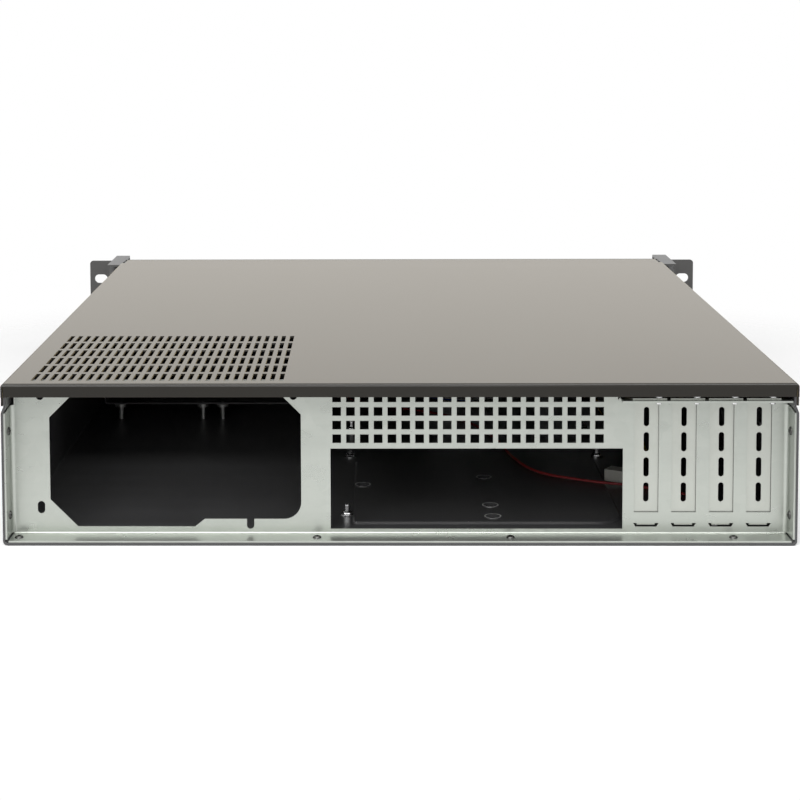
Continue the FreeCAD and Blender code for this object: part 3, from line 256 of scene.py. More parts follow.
finishValues = {
    # name: how it is made, and its values
    "trayPaint": (powderCoat, {
        "dark": (0.042, 0.042, 0.043), "light": (0.058, 0.058, 0.06), "ior": 1.45, "coat": 0.1,
        "coatRough": 0.28, "rough": 0.38, "peelScale": 700, "peel": 0.015, "smear": 0.12, "scuff": 0.07}),
    "coverPaint": (powderCoat, {
        "dark": (0.011, 0.01, 0.008), "light": (0.015, 0.013, 0.01), "ior": 1.36, "coat": 0.0,
        "coatRough": 0.3, "rough": 0.17, "peelScale": 900, "peel": 0.012, "smear": 0.02, "dust": 0.34}),
    "earPaint": (powderCoat, {
        "dark": (0.05, 0.049, 0.048), "light": (0.066, 0.064, 0.062), "ior": 1.5, "coat": 0.0,
        "coatRough": 0.3, "rough": 0.32, "peelScale": 900, "peel": 0.02, "smear": 0.03}),
    "zincSheet": (galvanised, {
        "dark": (0.36, 0.38, 0.35), "light": (0.44, 0.46, 0.425), "spangle": 160, "spangleShare": 0.3,
        "rolling": (0.4, 1, 3), "rough": 0.32, "metal": 0.85}),
    "coverStrip": (galvanised, {
        "dark": (0.39, 0.405, 0.37), "light": (0.46, 0.475, 0.44), "spangle": 240, "spangleShare": 0.2,
        "rolling": (3, 1, 0.3), "rough": 0.36, "metal": 0.8}),
    # dark bare cut edge colour, also painted shade of the gaps round the slot strips
    "cutEdgeAndGapShade": (platedSteel, {
        "dark": (0.05, 0.05, 0.05), "light": (0.11, 0.11, 0.1), "cloud": 400, "rough": 0.6}),
    "brassContact": (platedSteel, {
        "dark": (0.55, 0.4, 0.16), "light": (0.7, 0.52, 0.22), "cloud": 300, "rough": 0.3}),
    # pale grey painted highlight for the collar rims
    "paintedRimHighlight": (moulded, {"dark": (0.34, 0.34, 0.33), "light": (0.5, 0.5, 0.49), "rough": 0.45}),
    "brightZinc": (platedSteel, {
        "dark": (0.6, 0.6, 0.61), "light": (0.78, 0.78, 0.78), "cloud": 300, "rough": 0.24}),
    "blackOxide": (platedSteel, {
        "dark": (0.03, 0.03, 0.032), "light": (0.06, 0.06, 0.062), "cloud": 300, "rough": 0.35}),
    "rivetSteel": (platedSteel, {
        "dark": (0.05, 0.05, 0.048), "light": (0.11, 0.11, 0.105), "cloud": 300, "rough": 0.28}),
    "dullZinc": (platedSteel, {
        "dark": (0.4, 0.4, 0.39), "light": (0.55, 0.55, 0.54), "cloud": 300, "rough": 0.5}),
    "blackPlastic": (moulded, {"dark": (0.012, 0.012, 0.013), "light": (0.02, 0.02, 0.021), "rough": 0.5}),
    "ivoryPlastic": (moulded, {
        "dark": (0.74, 0.73, 0.67), "light": (0.82, 0.81, 0.75), "rough": 0.4, "soft": 0.2}),
    "boardMask": (circuitBoard, {"dark": (0.008, 0.05, 0.022), "light": (0.014, 0.09, 0.035)}),
    "ledLens": (clearLens, {"dark": (0.75, 0.78, 0.75), "light": (0.88, 0.9, 0.88)}),
    "redWire": (wireSleeve, {"dark": (0.3, 0.024, 0.028), "light": (0.4, 0.036, 0.04)}),
    "blueWire": (wireSleeve, {"dark": (0.01, 0.05, 0.3), "light": (0.02, 0.08, 0.42)}),
    "yellowWire": (wireSleeve, {"dark": (0.55, 0.36, 0.02), "light": (0.68, 0.46, 0.03)}),
    "whiteWire": (wireSleeve, {"dark": (0.6, 0.6, 0.57), "light": (0.72, 0.72, 0.69)}),
    "blackWire": (wireSleeve, {"dark": (0.01, 0.01, 0.01), "light": (0.018, 0.018, 0.018)}),
}
finishes = {name: make(name, values) for name, (make, values) in finishValues.items()}
print("finishes made")


def plainMesh(source, name):
    # evaluated result of an object as a mesh of its own
    graph = bpy.context.evaluated_depsgraph_get()
    mesh = bpy.data.meshes.new_from_object(source.evaluated_get(graph))
    mesh.name = name
    return mesh


flatWithin = math.radians(1.0)
bevelAbove = math.radians(40)


def tidyCopy(nodeName):
    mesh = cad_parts[nodeName].data.copy()
    shape = bmesh.new()
    shape.from_mesh(mesh)
    bmesh.ops.remove_doubles(shape, verts=shape.verts, dist=mergeReach)
    if nodeName != "base_tray":
        bmesh.ops.dissolve_limit(shape, angle_limit=flatWithin, verts=shape.verts, edges=shape.edges)
    shape.to_mesh(mesh)
    shape.free()
    return mesh


def settle(piece):
    # keeps what the modifiers make and takes them off
    result = plainMesh(piece, piece.name)
    piece.modifiers.clear()
    piece.data = result


def evenShading(piece, degrees=50):
    # bends shade smoothly while the flats beside them stay flat
    piece.data.shade_smooth()
    piece.data.set_sharp_from_angle(angle=math.radians(degrees))
    weigh = piece.modifiers.new("flats", "WEIGHTED_NORMAL")
    weigh.mode = "FACE_AREA"
    weigh.weight = 100
    weigh.keep_sharp = True
    settle(piece)


def dressed(nodeName, pieceName, body, finish, edge):
    mesh = tidyCopy(nodeName)
    piece = bpy.data.objects.new(pieceName, mesh)
    bpy.context.scene.collection.objects.link(piece)
    bevel = piece.modifiers.new("edge", "BEVEL")
    bevel.width = edge * mm
    bevel.segments = 1
    bevel.limit_method = "ANGLE"
    bevel.angle_limit = bevelAbove
    settle(piece)
    piece.data.materials.clear()
    piece.data.materials.append(finishes[finish])
    evenShading(piece)
    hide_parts(nodeName)
    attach(piece, body)
    return piece


dressValues = [
    # CAD node, piece, body, finish, edge radius in mm
    ("base_tray", "traySheet", "case", "trayPaint", 0.15),
    ("top_cover", "coverSheet", "cover", "coverPaint", 0.12),
    ("rear_panel", "rearSheet", "case", "zincSheet", 0.1),
    ("slot_cover_1", "slotStrip1", "case", "coverStrip", 0.1),
    ("slot_cover_2", "slotStrip2", "case", "coverStrip", 0.1),
    ("slot_cover_3", "slotStrip3", "case", "coverStrip", 0.1),
    ("slot_cover_4", "slotStrip4", "case", "coverStrip", 0.1),
    ("front_frame", "frontFrameSheet", "case", "coverPaint", 0.12),
    ("front_panel", "frontPlate", "case", "earPaint", 0.2),
    ("drive_bay_blank", "bayBlank", "case", "blackPlastic", 0.2),
    ("rack_ear_left", "earLeft", "case", "earPaint", 0.25),
    ("rack_ear_right", "earRight", "case", "earPaint", 0.25),
    ("drive_cage", "cageSheet", "case", "trayPaint", 0.12),
    ("cage_pillars", "pillarSet", "case", "dullZinc", 0.1),
    ("cage_rails", "railPair", "case", "trayPaint", 0.1),
    ("fan_frame_1", "fanHousing1", "case", "blackPlastic", 0.2),
    ("fan_frame_2", "fanHousing2", "case", "blackPlastic", 0.2),
    ("fan_rotor_1", "fanBlades1", "fan_rotor_1", "blackPlastic", 0.1),
    ("fan_rotor_2", "fanBlades2", "fan_rotor_2", "blackPlastic", 0.1),
    ("control_board", "controlBoard", "case", "boardMask", 0.1),
    ("board_spacers", "spacerSet", "case", "brightZinc", 0.1),
    ("power_switch", "powerSwitch", "case", "blackPlastic", 0.1),
    ("reset_switch", "resetSwitch", "case", "blackPlastic", 0.1),
    ("power_button", "powerButton", "power_button", "blackPlastic", 0.1),
    ("reset_button", "resetButton", "reset_button", "blackPlastic", 0.1),
    ("indicator_leds", "ledSet", "case", "ledLens", 0.05),
    ("usb_sockets", "usbPair", "case", "brightZinc", 0.05),
    ("board_header", "headerBlock", "case", "ivoryPlastic", 0.1),
    ("power_plug", "powerPlug", "case", "blackPlastic", 0.15),
    ("led_plug", "ledPlug", "case", "blackPlastic", 0.15),
    ("fan_plug", "fanPlug", "case", "ivoryPlastic", 0.2),
]
pieces = {}
for nodeName, pieceName, body, finish, edge in dressValues:
    pieces[pieceName] = dressed(nodeName, pieceName, body, finish, edge)


def paintCutEdgeAndGapShade(piece, low, high):
    # bare sheared faces of the openings between two corners, made dark both for the bare cut edge's own
    # colour and as painted shade of the gap beside each slot strip
    mesh = piece.data
    mesh.materials.append(finishes["cutEdgeAndGapShade"])
    for face in mesh.polygons:
        middle, way = face.center, face.normal
        inside = all(low[i] * mm < middle[i] < high[i] * mm for i in range(3))
        if inside and abs(way.y) < 0.5:
            face.material_index = 1


def paintRimHighlights(piece):
    # painted highlight on the upward faces of the collars pressed up out of the tray floor
    mesh = piece.data
    mesh.materials.append(finishes["paintedRimHighlight"])
    for face in mesh.polygons:
        middle = face.center
        near = any(math.hypot(middle.x - x * mm, middle.y - atDepth(depth)) < collarRadius * mm
                   for x, depth in collarSpots)
        if near and middle.z > rimLow * mm and face.normal.z > rimUpward:
            face.material_index = 1


collarSpots = [(20.1, 112.7), (-53.4, 129.3), (-53.4, 68.4), (-53.4, 45.5)]
collarRadius = 5.4
rimLow, rimUpward = 2.75, 0.3
paintRimHighlights(pieces["traySheet"])


def paintEmbossHighlight(piece, values):
    # painted highlight along the rear edge of the raised board area
    mesh = piece.data
    mesh.materials.append(finishes["brightZinc"])
    for face in mesh.polygons:
        middle = face.center
        onEdge = abs(middle.y - atDepth(values["rear"])) < values["reach"] * mm
        onEdge = onEdge and values["low"] * mm < middle.z < values["high"] * mm
        if onEdge and values["steepest"] < face.normal.z < values["flattest"]:
            face.material_index = 2


# the sloped rear edge of the raised area gets a painted highlight in bright zinc
embossValues = {"rear": 35.0, "reach": 2.5, "low": 2.2, "high": 2.42, "steepest": 0.3, "flattest": 0.985}
paintEmbossHighlight(pieces["traySheet"], embossValues)


blockFaces = ((0, 2, 3, 1), (4, 5, 7, 6), (0, 1, 5, 4), (2, 6, 7, 3), (0, 4, 6, 2), (1, 3, 7, 5))


def addBlocks(piece, finish, blocks):
    # small inner parts, each given by its lowest and highest corner
    mesh = piece.data
    mesh.materials.append(finishes[finish])
    shape = bmesh.new()
    shape.from_mesh(mesh)
    for low, high in blocks:
        corners = [shape.verts.new((x, y, z)) for z in (low[2], high[2]) for y in (low[1], high[1])
                   for x in (low[0], high[0])]
        for a, b, c, d in blockFaces:
            face = shape.faces.new((corners[a], corners[b], corners[c], corners[d]))
            face.material_index = len(mesh.materials) - 1
            face.smooth = False
    shape.to_mesh(mesh)
    shape.free()


def fillSockets(piece, values):
    # a black tongue with four contacts in each socket, and a dark plate behind them
    tongues, contacts, linings = [], [], []
    for low, high in looseBoxes("usb_sockets"):
        middle = (low + high) / 2
        back = low.y + values["deep"] * mm
        front = low.y + values["setBack"] * mm
        half, tall = values["thick"] / 2 * mm, (high.z - low.z) / 2 - values["margin"] * mm
        side = middle.x + values["aside"] * mm
        tongues.append(((side - half, front, middle.z - tall), (side + half, back, middle.z + tall)))
        linings.append(((low.x + values["wall"] * mm, back, low.z + values["wall"] * mm),
                        (high.x - values["wall"] * mm, back + values["lining"] * mm,
                         high.z - values["wall"] * mm)))
        for i in range(4):
            z = middle.z + (i - 1.5) * values["pitch"] * mm
            wide = values["contactWide"] / 2 * mm
            outside = side - half - values["contactThick"] * mm
            start = front + values["contactSetBack"] * mm
            contacts.append(((outside, start, z - wide), (side - half, back, z + wide)))
    addBlocks(piece, "blackPlastic", tongues + linings)
    addBlocks(piece, "brassContact", contacts)


socketValues = {
    "deep": 9.0, "setBack": 1.2, "thick": 1.9, "margin": 1.4, "aside": 0.7, "wall": 0.65, "lining": 0.4,
    "pitch": 2.5, "contactWide": 1.0, "contactThick": 0.12, "contactSetBack": 0.3}
# two corners round the four slot openings
slotsLow, slotsHigh = (-206, 200, 12), (-126, 300, 72)
paintCutEdgeAndGapShade(pieces["rearSheet"], slotsLow, slotsHigh)
print("sheet metal and mouldings dressed:", len(pieces))


def looseBoxes(nodeName):
    # lowest and highest corner of each separate solid of a CAD node
    shape = bmesh.new()
    shape.from_mesh(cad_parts[nodeName].data)
    bmesh.ops.remove_doubles(shape, verts=shape.verts, dist=mergeReach)
    seen, boxes = set(), []
    for start in shape.verts:
        if start in seen:
            continue
        front, points = [start], []
        seen.add(start)
        while front:
            here = front.pop()
            points.append(here.co.copy())
            for edge in here.link_edges:
                other = edge.other_vert(here)
                if other not in seen:
                    seen.add(other)
                    front.append(other)
        low = Vector([min(p[i] for p in points) for i in range(3)])
        high = Vector([max(p[i] for p in points) for i in range(3)])
        boxes.append((low, high))
    shape.free()
    return boxes


fillSockets(pieces["usbPair"], socketValues)


def startTree(name, sizes):
    tree = bpy.data.node_groups.new(name, "GeometryNodeTree")
    tree.interface.new_socket("Geometry", in_out="INPUT", socket_type="NodeSocketGeometry")
    for size in sizes:
        tree.interface.new_socket(size, in_out="INPUT", socket_type="NodeSocketFloat")
    tree.interface.new_socket("Material", in_out="INPUT", socket_type="NodeSocketMaterial")
    tree.interface.new_socket("Geometry", in_out="OUTPUT", socket_type="NodeSocketGeometry")
    return tree, tree.nodes.new("NodeGroupInput").outputs


def turnedBody(tree, outline, sides, radius, height):
    # a lathe-turned body: its radius follows the outline from foot to top
    values = {"Vertices": sides, "Side Segments": 12, "Radius": 1.0, "Depth": 1.0}
    blank = put(tree, "GeometryNodeMeshCylinder", values)
    place = put(tree, "ShaderNodeSeparateXYZ", {0: put(tree, "GeometryNodeInputPosition").outputs[0]})
    along = mathOf(tree, "ADD", place.outputs[2], 0.5)
    curve = put(tree, "ShaderNodeFloatCurve", {"Value": along})
    marks = curve.mapping.curves[0].points
    marks[0].location, marks[1].location = outline[0], outline[-1]
    for mark in outline[1:-1]:
        marks.new(*mark)
    for mark in marks:
        mark.handle_type = "VECTOR"
    curve.mapping.update()
    reach = mathOf(tree, "MULTIPLY", curve.outputs[0], radius)
    target = put(tree, "ShaderNodeCombineXYZ", {
        0: mathOf(tree, "MULTIPLY", place.outputs[0], reach),
        1: mathOf(tree, "MULTIPLY", place.outputs[1], reach),
        2: mathOf(tree, "MULTIPLY", along, height)})
    return put(tree, "GeometryNodeSetPosition", {"Geometry": blank.outputs["Mesh"],
                                                 "Position": target.outputs[0]}).outputs[0]


def rod(tree, sides, radius, length, height):
    # an upright rod with its middle at the height
    blank = put(tree, "GeometryNodeMeshCylinder", {"Vertices": sides, "Radius": radius, "Depth": length})
    raised = put(tree, "ShaderNodeCombineXYZ", {2: height})
    values = {"Geometry": blank.outputs[0], "Translation": raised.outputs[0]}
    return put(tree, "GeometryNodeTransform", values).outputs[0]


def box(tree, sizes, centre):
    cube = put(tree, "GeometryNodeMeshCube", {"Size": put(tree, "ShaderNodeCombineXYZ", sizes).outputs[0]})
    moved = put(tree, "GeometryNodeTransform", {
        "Geometry": cube.outputs[0], "Translation": put(tree, "ShaderNodeCombineXYZ", centre).outputs[0]})
    return moved.outputs[0]


def minus(tree, first, *others):
    node = put(tree, "GeometryNodeMeshBoolean", {"Mesh 1": first}, operation="DIFFERENCE", solver="EXACT")
    for other in others:
        tree.links.new(other, node.inputs["Mesh 2"])
    return node.outputs[0]


def together(tree, *parts):
    node = tree.nodes.new("GeometryNodeJoinGeometry")
    for part in parts:
        tree.links.new(part, node.inputs[0])
    return node.outputs[0]


def spreadOver(tree, groupIn, part):
    # one copy on each point, turned as the point's own attribute says
    turn = put(tree, "GeometryNodeInputNamedAttribute", {"Name": "turn"}, data_type="FLOAT_VECTOR")
    spin = put(tree, "FunctionNodeEulerToRotation", {0: turn.outputs[0]})
    copies = put(tree, "GeometryNodeInstanceOnPoints",
                 {"Points": groupIn["Geometry"], "Instance": part, "Rotation": spin.outputs[0]})
    real = put(tree, "GeometryNodeRealizeInstances", {0: copies.outputs[0]})
    coated = put(tree, "GeometryNodeSetMaterial",
                 {"Geometry": real.outputs[0], "Material": groupIn["Material"]})
    groupOut = tree.nodes.new("NodeGroupOutput")
    tree.links.new(coated.outputs[0], groupOut.inputs[0])


def crossRecess(tree, part, size, top, depth):
    # two crossed wings, as a screwdriver needs
    thin = mathOf(tree, "MULTIPLY", size, 0.2)
    high = mathOf(tree, "MULTIPLY", depth, 2.0)
    first = box(tree, {0: size, 1: thin, 2: high}, {2: top})
    second = box(tree, {0: thin, 1: size, 2: high}, {2: top})
    return minus(tree, minus(tree, part, first), second)


def screwTree(name, outline):
    tree, groupIn = startTree(name, ["Head radius", "Head height", "Recess width", "Recess depth",
                                     "Shank radius", "Shank length"])
    head = turnedBody(tree, outline, 40, groupIn["Head radius"], groupIn["Head height"])
    head = crossRecess(tree, head, groupIn["Recess width"], groupIn["Head height"], groupIn["Recess depth"])
    shank = rod(tree, 20, groupIn["Shank radius"], groupIn["Shank length"],
                mathOf(tree, "MULTIPLY", groupIn["Shank length"], -0.5))
    spreadOver(tree, groupIn, together(tree, head, shank))
    return tree


def rivetTree(name):
    tree, groupIn = startTree(name, ["Head radius", "Head height", "Hollow radius"])
    head = turnedBody(tree, [(0, 1), (0.45, 0.97), (0.8, 0.84), (1, 0.62)], 32, groupIn["Head radius"],
                      groupIn["Head height"])
    hollow = mathOf(tree, "MULTIPLY", groupIn["Head height"], 1.7)
    drill = rod(tree, 20, groupIn["Hollow radius"], hollow, groupIn["Head height"])
    spreadOver(tree, groupIn, minus(tree, head, drill))
    return tree


def standoffTree(name):
    tree, groupIn = startTree(name, ["Across corners", "Height", "Foot radius", "Foot height",
                                     "Thread radius"])
    # a hexagon with a narrow neck
    neckOutline = [(0, 1), (0.3, 1), (0.42, 0.52), (0.94, 0.48), (1, 0.42)]
    hexagon = turnedBody(tree, neckOutline, 6, mathOf(tree, "MULTIPLY", groupIn["Across corners"], 0.5),
                         groupIn["Height"])
    footOutline = [(0, 1), (0.7, 1), (1, 0.9)]
    foot = turnedBody(tree, footOutline, 32, groupIn["Foot radius"], groupIn["Foot height"])
    drill = rod(tree, 24, groupIn["Thread radius"], groupIn["Height"],
                mathOf(tree, "MULTIPLY", groupIn["Height"], 0.8))
    spreadOver(tree, groupIn, together(tree, minus(tree, hexagon, drill), foot))
    return tree


def placed(name, tree, points, sizes, finish, body, nodeName):
    # points: place and turn of each copy
    mesh = bpy.data.meshes.new(name)
    mesh.from_pydata([p for p, turn in points], [], [])
    turns = mesh.attributes.new("turn", "FLOAT_VECTOR", "POINT")
    for i, (p, turn) in enumerate(points):
        turns.data[i].vector = turn
    piece = bpy.data.objects.new(name, mesh)
    bpy.context.scene.collection.objects.link(piece)
    modifier = piece.modifiers.new("turned", "NODES")
    modifier.node_group = tree
    sockets = {item.name: item.identifier for item in tree.interface.items_tree if item.in_out == "INPUT"}
    for key, value in sizes.items():
        modifier[sockets[key]] = value * mm
    modifier[sockets["Material"]] = finishes[finish]
    settle(piece)
    evenShading(piece, 35)
    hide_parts(nodeName)
    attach(piece, body)
    return piece


quarter = math.pi / 2
panOutline = [(0, 0.97), (0.08, 1), (0.45, 1), (0.8, 0.88), (1, 0.6)]
sunkOutline = [(0, 0.52), (0.9, 0.97), (1, 1)]
panTree = screwTree("panScrew", panOutline)
sunkTree = screwTree("sunkScrew", sunkOutline)
screwSizes = {
    "slot": {
        "Head radius": 2.8, "Head height": 1.9, "Recess width": 3.3, "Recess depth": 1.2,
        "Shank radius": 1.6, "Shank length": 3.6},
    "ear": {
        "Head radius": 3.2, "Head height": 2.0, "Recess width": 3.8, "Recess depth": 1.3,
        "Shank radius": 1.85, "Shank length": 6.0},
    "cover": {
        "Head radius": 2.98, "Head height": 1.0, "Recess width": 3.2, "Recess depth": 0.8,
        "Shank radius": 1.55, "Shank length": 3.4},
    "fan": {
        "Head radius": 3.75, "Head height": 1.6, "Recess width": 3.8, "Recess depth": 1.2,
        "Shank radius": 2.1, "Shank length": 8.3},
}
# the lower 0.9 mm of a rivet's head lies inside the sheets
rivetSizes = {"Head radius": 2.5, "Head height": 1.9, "Hollow radius": 0.95}
standoffSizes = {
    "Across corners": 6.35, "Height": 6.5, "Foot radius": 3.6, "Foot height": 0.8, "Thread radius": 1.3}
# radians from one fastener to the next
spinSteps = {"slot": 0.35, "side": 0.4, "fan": 0.3, "standoff": 0.5}


def slotScrewPoints():
    head = screwSizes["slot"]["Head height"] * mm
    return [((*((low + high) / 2).xy, high.z - head), (0, 0, spinSteps["slot"] * i))
            for i, (low, high) in enumerate(looseBoxes("slot_cover_screws"))]


def sidePoints(nodeName, sunk):
    # screws that go in from the left or right side
    # known fault: the spin comes before the quarter turn, so it leans the screw
    points = []
    for i, (low, high) in enumerate(looseBoxes(nodeName)):
        side = 1 if low.x > 0 else -1
        outer = high.x if side > 0 else low.x
        points.append(((outer - side * sunk * mm, (low.y + high.y) / 2, (low.z + high.z) / 2),
                       (spinSteps["side"] * i, side * quarter, 0)))
    return points


def fanScrewPoints():
    high = screwSizes["fan"]["Head height"] * mm
    return [(((a.x + b.x) / 2, a.y + high, (a.z + b.z) / 2), (quarter, spinSteps["fan"] * i, 0))
            for i, (a, b) in enumerate(looseBoxes("fan_screws"))]


def rivetPoints():
    points = []
    grip = rivetSizes["Head height"] * mm
    for low, high in looseBoxes("rear_rivets"):
        middle = (low + high) / 2
        if high.x - low.x > high.z - low.z:
            points.append(((middle.x, middle.y, high.z - grip), (0, 0, 0)))
        elif middle.x > 0:
            points.append(((low.x + grip, middle.y, middle.z), (0, -quarter, 0)))
        else:
            points.append(((high.x - grip, middle.y, middle.z), (0, quarter, 0)))
    return points


def standoffPoints():
    tall = standoffSizes["Height"] * mm
    return [((*((low + high) / 2).xy, high.z - tall), (0, 0, spinSteps["standoff"] * i))
            for i, (low, high) in enumerate(looseBoxes("board_standoffs"))]


fastenerValues = {
    # piece: tree, places, sizes, finish, body, CAD node
    "slotScrewSet": (panTree, slotScrewPoints(), screwSizes["slot"], "brightZinc", "case",
                     "slot_cover_screws"),
    "earScrewSet": (panTree, sidePoints("ear_screws", screwSizes["ear"]["Head height"]), screwSizes["ear"],
                    "blackOxide", "case", "ear_screws"),
    "coverScrewSet": (sunkTree, sidePoints("cover_screws", screwSizes["cover"]["Head height"]),
                      screwSizes["cover"], "blackOxide", "cover", "cover_screws"),
    "fanScrewSet": (sunkTree, fanScrewPoints(), screwSizes["fan"], "blackOxide", "case", "fan_screws"),
    "rivetSet": (rivetTree("hollowRivet"), rivetPoints(), rivetSizes, "rivetSteel", "case", "rear_rivets"),
    "standoffSet": (standoffTree("hexStandoff"), standoffPoints(), standoffSizes, "brightZinc", "case",
                    "board_standoffs"),
}
for name, values in fastenerValues.items():
    pieces[name] = placed(name, *values)
print("fasteners turned")


headerX, headerZ, headerDepth = 22.0, 10.0, 457.7
fanExitX, fanExitDepth = -118.0, 453.8
powerLow, powerHigh, ledLow, fanLow = 2.35, 3.55, 2.6, 3.0
# each route: x, distance forward of the rear edge, z; each wire: its finish
leadValues = {
    "powerLead": {
        "node": "power_lead", "across": 1.7, "wires": ["redWire"], "length": 467.3, "plug": "powerPlug",
        "route": [
            (headerX + 2.5, headerDepth, headerZ), (headerX + 3.0, headerDepth - 14.0, headerZ - 0.6),
            (headerX + 4.0, headerDepth - 27.0, powerLow + 1.6),
            (headerX + 9.0, headerDepth - 43.0, powerLow), (headerX + 19.0, headerDepth - 68.0, powerLow),
            (headerX + 16.0, headerDepth - 98.0, powerLow), (headerX - 6.0, headerDepth - 126.0, powerLow),
            (-34.0, 304.0, powerLow), (-58.0, 266.0, powerLow), (-69.0, 222.0, powerLow),
            (-72.8, 190.0, powerLow + 0.1), (-75.5, 171.0, powerHigh), (-82.0, 147.0, powerHigh),
            (-93.0, 131.5, powerHigh), (-108.0, 122.5, powerHigh), (-121.0, 114.8, powerHigh),
            (-136.0, 112.0, powerLow + 0.7), (-150.0, 106.5, powerLow), (-163.0, 99.0, powerLow),
            (-172.0, 90.0, powerLow),
        ]},
    "ledLead": {
        "node": "led_lead", "across": 2.2, "wires": ["blueWire", "whiteWire"], "length": 209.7,
        "plug": "ledPlug",
        "route": [
            (headerX - 2.5, headerDepth, headerZ), (headerX - 3.0, headerDepth - 15.0, headerZ - 0.8),
            (headerX - 5.5, headerDepth - 31.0, ledLow + 2.2), (headerX - 12.0, headerDepth - 49.0, ledLow),
            (headerX - 28.0, headerDepth - 76.0, ledLow), (headerX - 52.0, headerDepth - 106.0, ledLow),
            (headerX - 84.0, headerDepth - 116.0, ledLow), (headerX - 108.0, headerDepth - 92.0, ledLow),
            (headerX - 112.0, headerDepth - 66.0, ledLow),
        ]},
    "fanLead": {
        "node": "fan_lead", "across": 3.0, "wires": ["redWire", "blackWire", "yellowWire"], "length": 366.2,
        "plug": "fanPlug",
        "route": [
            (fanExitX, fanExitDepth, 7.4), (fanExitX - 1.0, fanExitDepth - 14.0, 6.6),
            (fanExitX - 5.0, fanExitDepth - 32.0, fanLow + 0.2),
            (fanExitX - 13.0, fanExitDepth - 56.0, fanLow), (fanExitX - 26.0, fanExitDepth - 82.0, fanLow),
            (fanExitX - 32.0, fanExitDepth - 112.0, fanLow),
            (fanExitX - 28.0, fanExitDepth - 144.0, fanLow),
            (fanExitX - 33.0, fanExitDepth - 176.0, fanLow),
            (fanExitX - 43.0, fanExitDepth - 206.0, fanLow),
            (fanExitX - 45.0, fanExitDepth - 236.0, fanLow), (-161.0, 191.0, fanLow),
            (-168.0, 170.0, fanLow), (-172.0, 151.0, fanLow), (-173.5, 133.0, fanLow + 0.2),
            (-168.0, 118.5, fanLow + 0.9), (-155.8, 114.15, fanLow + 0.9), (-147.4, 119.6, fanLow + 0.9),
        ]},
}


def routeCurve(name, values):
    curve = bpy.data.curves.new(name, "CURVE")
    curve.dimensions = "3D"
    curve.resolution_u = 12
    line = curve.splines.new("NURBS")
    line.points.add(len(values["route"]) - 1)
    for point, (x, depth, z) in zip(line.points, values["route"]):
        point.co = (x * mm, atDepth(depth), z * mm, 1)
    line.order_u = 3
    line.use_endpoint_u = True
    lead = bpy.data.objects.new(name, curve)
    bpy.context.scene.collection.objects.link(lead)
    return lead


def wireBundle(name, path, values):
    # thin wires twisted loosely round the route
    wires = values["wires"]
    around = 10
    layLength = 26 * mm  # one radian of twist
    share = 0.46 if len(wires) == 3 else 0.5  # a wire's part of the bundle
    thin = values["across"] / 2 * mm * share
    offset = values["across"] / 2 * mm - thin
    shape = bmesh.new()
    walked = 0.0
    rings = [[] for wire in wires]
    for i, here in enumerate(path):
        before, after = path[max(i - 1, 0)], path[min(i + 1, len(path) - 1)]
        along = (after - before).normalized()
        walked += (here - before).length
        side = Vector((-along.y, along.x, 0)).normalized()
        up = along.cross(side)
        for k in range(len(wires)):
            turn = 2 * math.pi * k / len(wires) + walked / layLength
            middle = here + (side * math.cos(turn) + up * math.sin(turn)) * offset
            ring = []
            for j in range(around):
                angle = 2 * math.pi * j / around
                ring.append(shape.verts.new(middle + (side * math.cos(angle) + up * math.sin(angle)) * thin))
            rings[k].append(ring)
    for k, strand in enumerate(rings):
        for first, second in zip(strand, strand[1:]):
            for j in range(around):
                beside = (j + 1) % around
                face = shape.faces.new((first[j], first[beside], second[beside], second[j]))
                face.material_index = k
        for ring in (strand[0], strand[-1]):
            shape.faces.new(ring).material_index = k
    bmesh.ops.recalc_face_normals(shape, faces=shape.faces)
    mesh = bpy.data.meshes.new(name)
    shape.to_mesh(mesh)
    shape.free()
    for wire in wires:
        mesh.materials.append(finishes[wire])
    mesh.shade_smooth()
    mesh.set_sharp_from_angle(angle=math.radians(60))
    return mesh


def makeLead(name, values):
    lead = routeCurve(name, values)
    path = None
    if len(values["wires"]) == 1:
        lead.data.bevel_depth = values["across"] / 2 * mm
        lead.data.bevel_resolution = 4
        lead.data.use_fill_caps = True
        lead.data.materials.append(finishes[values["wires"][0]])
    else:
        line = plainMesh(lead, name + "Route")
        path = [v.co.copy() for v in line.vertices]
        bpy.data.objects.remove(lead)
        lead = bpy.data.objects.new(name, wireBundle(name, path, values))
        bpy.context.scene.collection.objects.link(lead)
    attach(lead, "case")
    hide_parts(values["node"])
    return lead


for name, values in leadValues.items():
    pieces[name] = makeLead(name, values)
print("leads laid")


# in metres; the sheet is solid to one distance and gone at the other
floorValues = {"span": 3, "sink": 0.0004, "tone": (0.93, 0.93, 0.93, 1), "rough": 0.9, "solidTo": 0.34,
               "goneAt": 0.62}


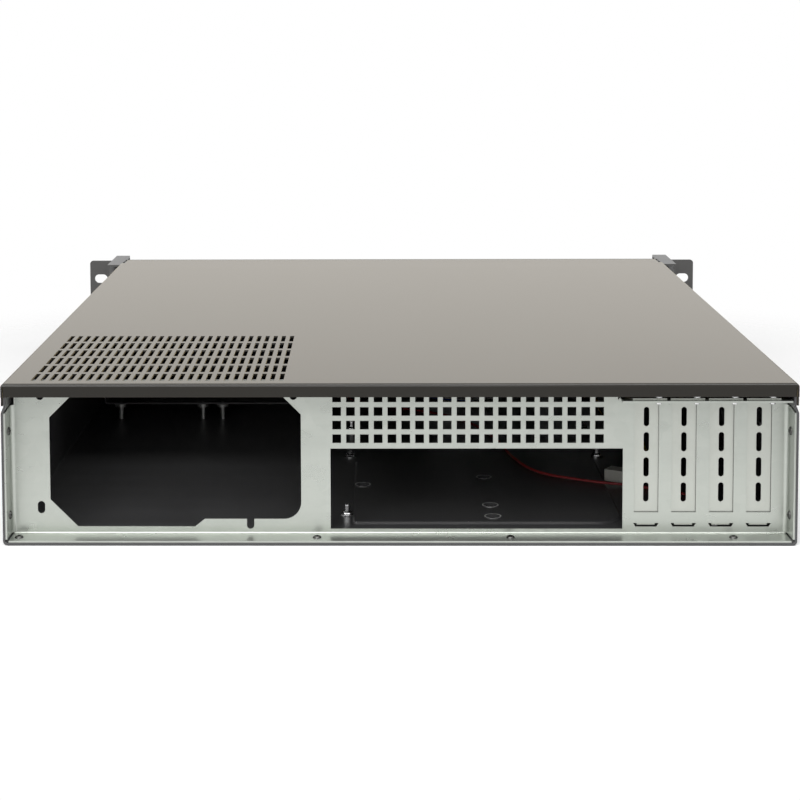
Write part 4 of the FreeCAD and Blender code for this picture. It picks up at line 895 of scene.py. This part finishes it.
def paleFloor(values):
    # pale sheet that thins out into the white surroundings
    mesh = bpy.data.meshes.new("floor")
    span = values["span"]
    corners = [(-span, -span, 0), (span, -span, 0), (span, span, 0), (-span, span, 0)]
    mesh.from_pydata(corners, [], [(0, 1, 2, 3)])
    floor = bpy.data.objects.new("floor", mesh)
    floor.location.z = -values["sink"]
    material, tree, shader = newMaterial("floorWhite")
    shader.inputs["Base Color"].default_value = values["tone"]
    shader.inputs["Roughness"].default_value = values["rough"]
    place = put(tree, "ShaderNodeTexCoord").outputs["Object"]
    reach = put(tree, "ShaderNodeVectorMath", {0: place}, operation="LENGTH").outputs["Value"]
    fade = {"Value": reach, "From Min": values["solidTo"], "From Max": values["goneAt"], "To Min": 1.0,
            "To Max": 0.0}
    solid = put(tree, "ShaderNodeMapRange", fade, interpolation_type="SMOOTHSTEP")
    tree.links.new(solid.outputs[0], shader.inputs["Alpha"])
    mesh.materials.append(material)
    bpy.context.scene.collection.objects.link(floor)
    return floor


def lamp(name, place, aim, size, power):
    data = bpy.data.lights.new(name, "AREA")
    data.shape = "RECTANGLE"
    data.size, data.size_y = size
    data.energy = power
    light = bpy.data.objects.new(name, data)
    light.location = place
    light.visible_camera = False
    light.rotation_euler = (Vector(aim) - Vector(place)).to_track_quat("-Z", "Y").to_euler()
    bpy.context.scene.collection.objects.link(light)


def whiteWorld(strength):
    world = bpy.data.worlds.new("studio")
    bpy.context.scene.world = world
    world.use_nodes = True
    tree = world.node_tree
    tree.nodes.clear()
    path = put(tree, "ShaderNodeLightPath")
    seen = mathOf(tree, "MAXIMUM", path.outputs["Is Camera Ray"],
                  mathOf(tree, "MAXIMUM", path.outputs["Is Glossy Ray"], path.outputs["Is Transmission Ray"]))
    lit = put(tree, "ShaderNodeBackground", {"Color": (1, 1, 1, 1), "Strength": strength})
    shown = put(tree, "ShaderNodeBackground", {"Color": (1, 1, 1, 1), "Strength": 1.0})
    mixed = put(tree, "ShaderNodeMixShader", {0: seen, 1: lit.outputs[0], 2: shown.outputs[0]})
    put(tree, "ShaderNodeOutputWorld", {"Surface": mixed.outputs[0]})


lampValues = {
    # place, aim and size in metres, power in watts
    "overhead": ((0.0, 0.46, 0.8), (0, 0.32, 0), (1.5, 0.3), 9),
    "rearFill": ((0.5, 1.9, 1.3), (0, 0.2, 0.04), (1.6, 1.0), 22),
}
worldStrength = 0.5
floor = paleFloor(floorValues)
for name, values in lampValues.items():
    lamp(name, *values)
whiteWorld(worldStrength)
print("stage lit")
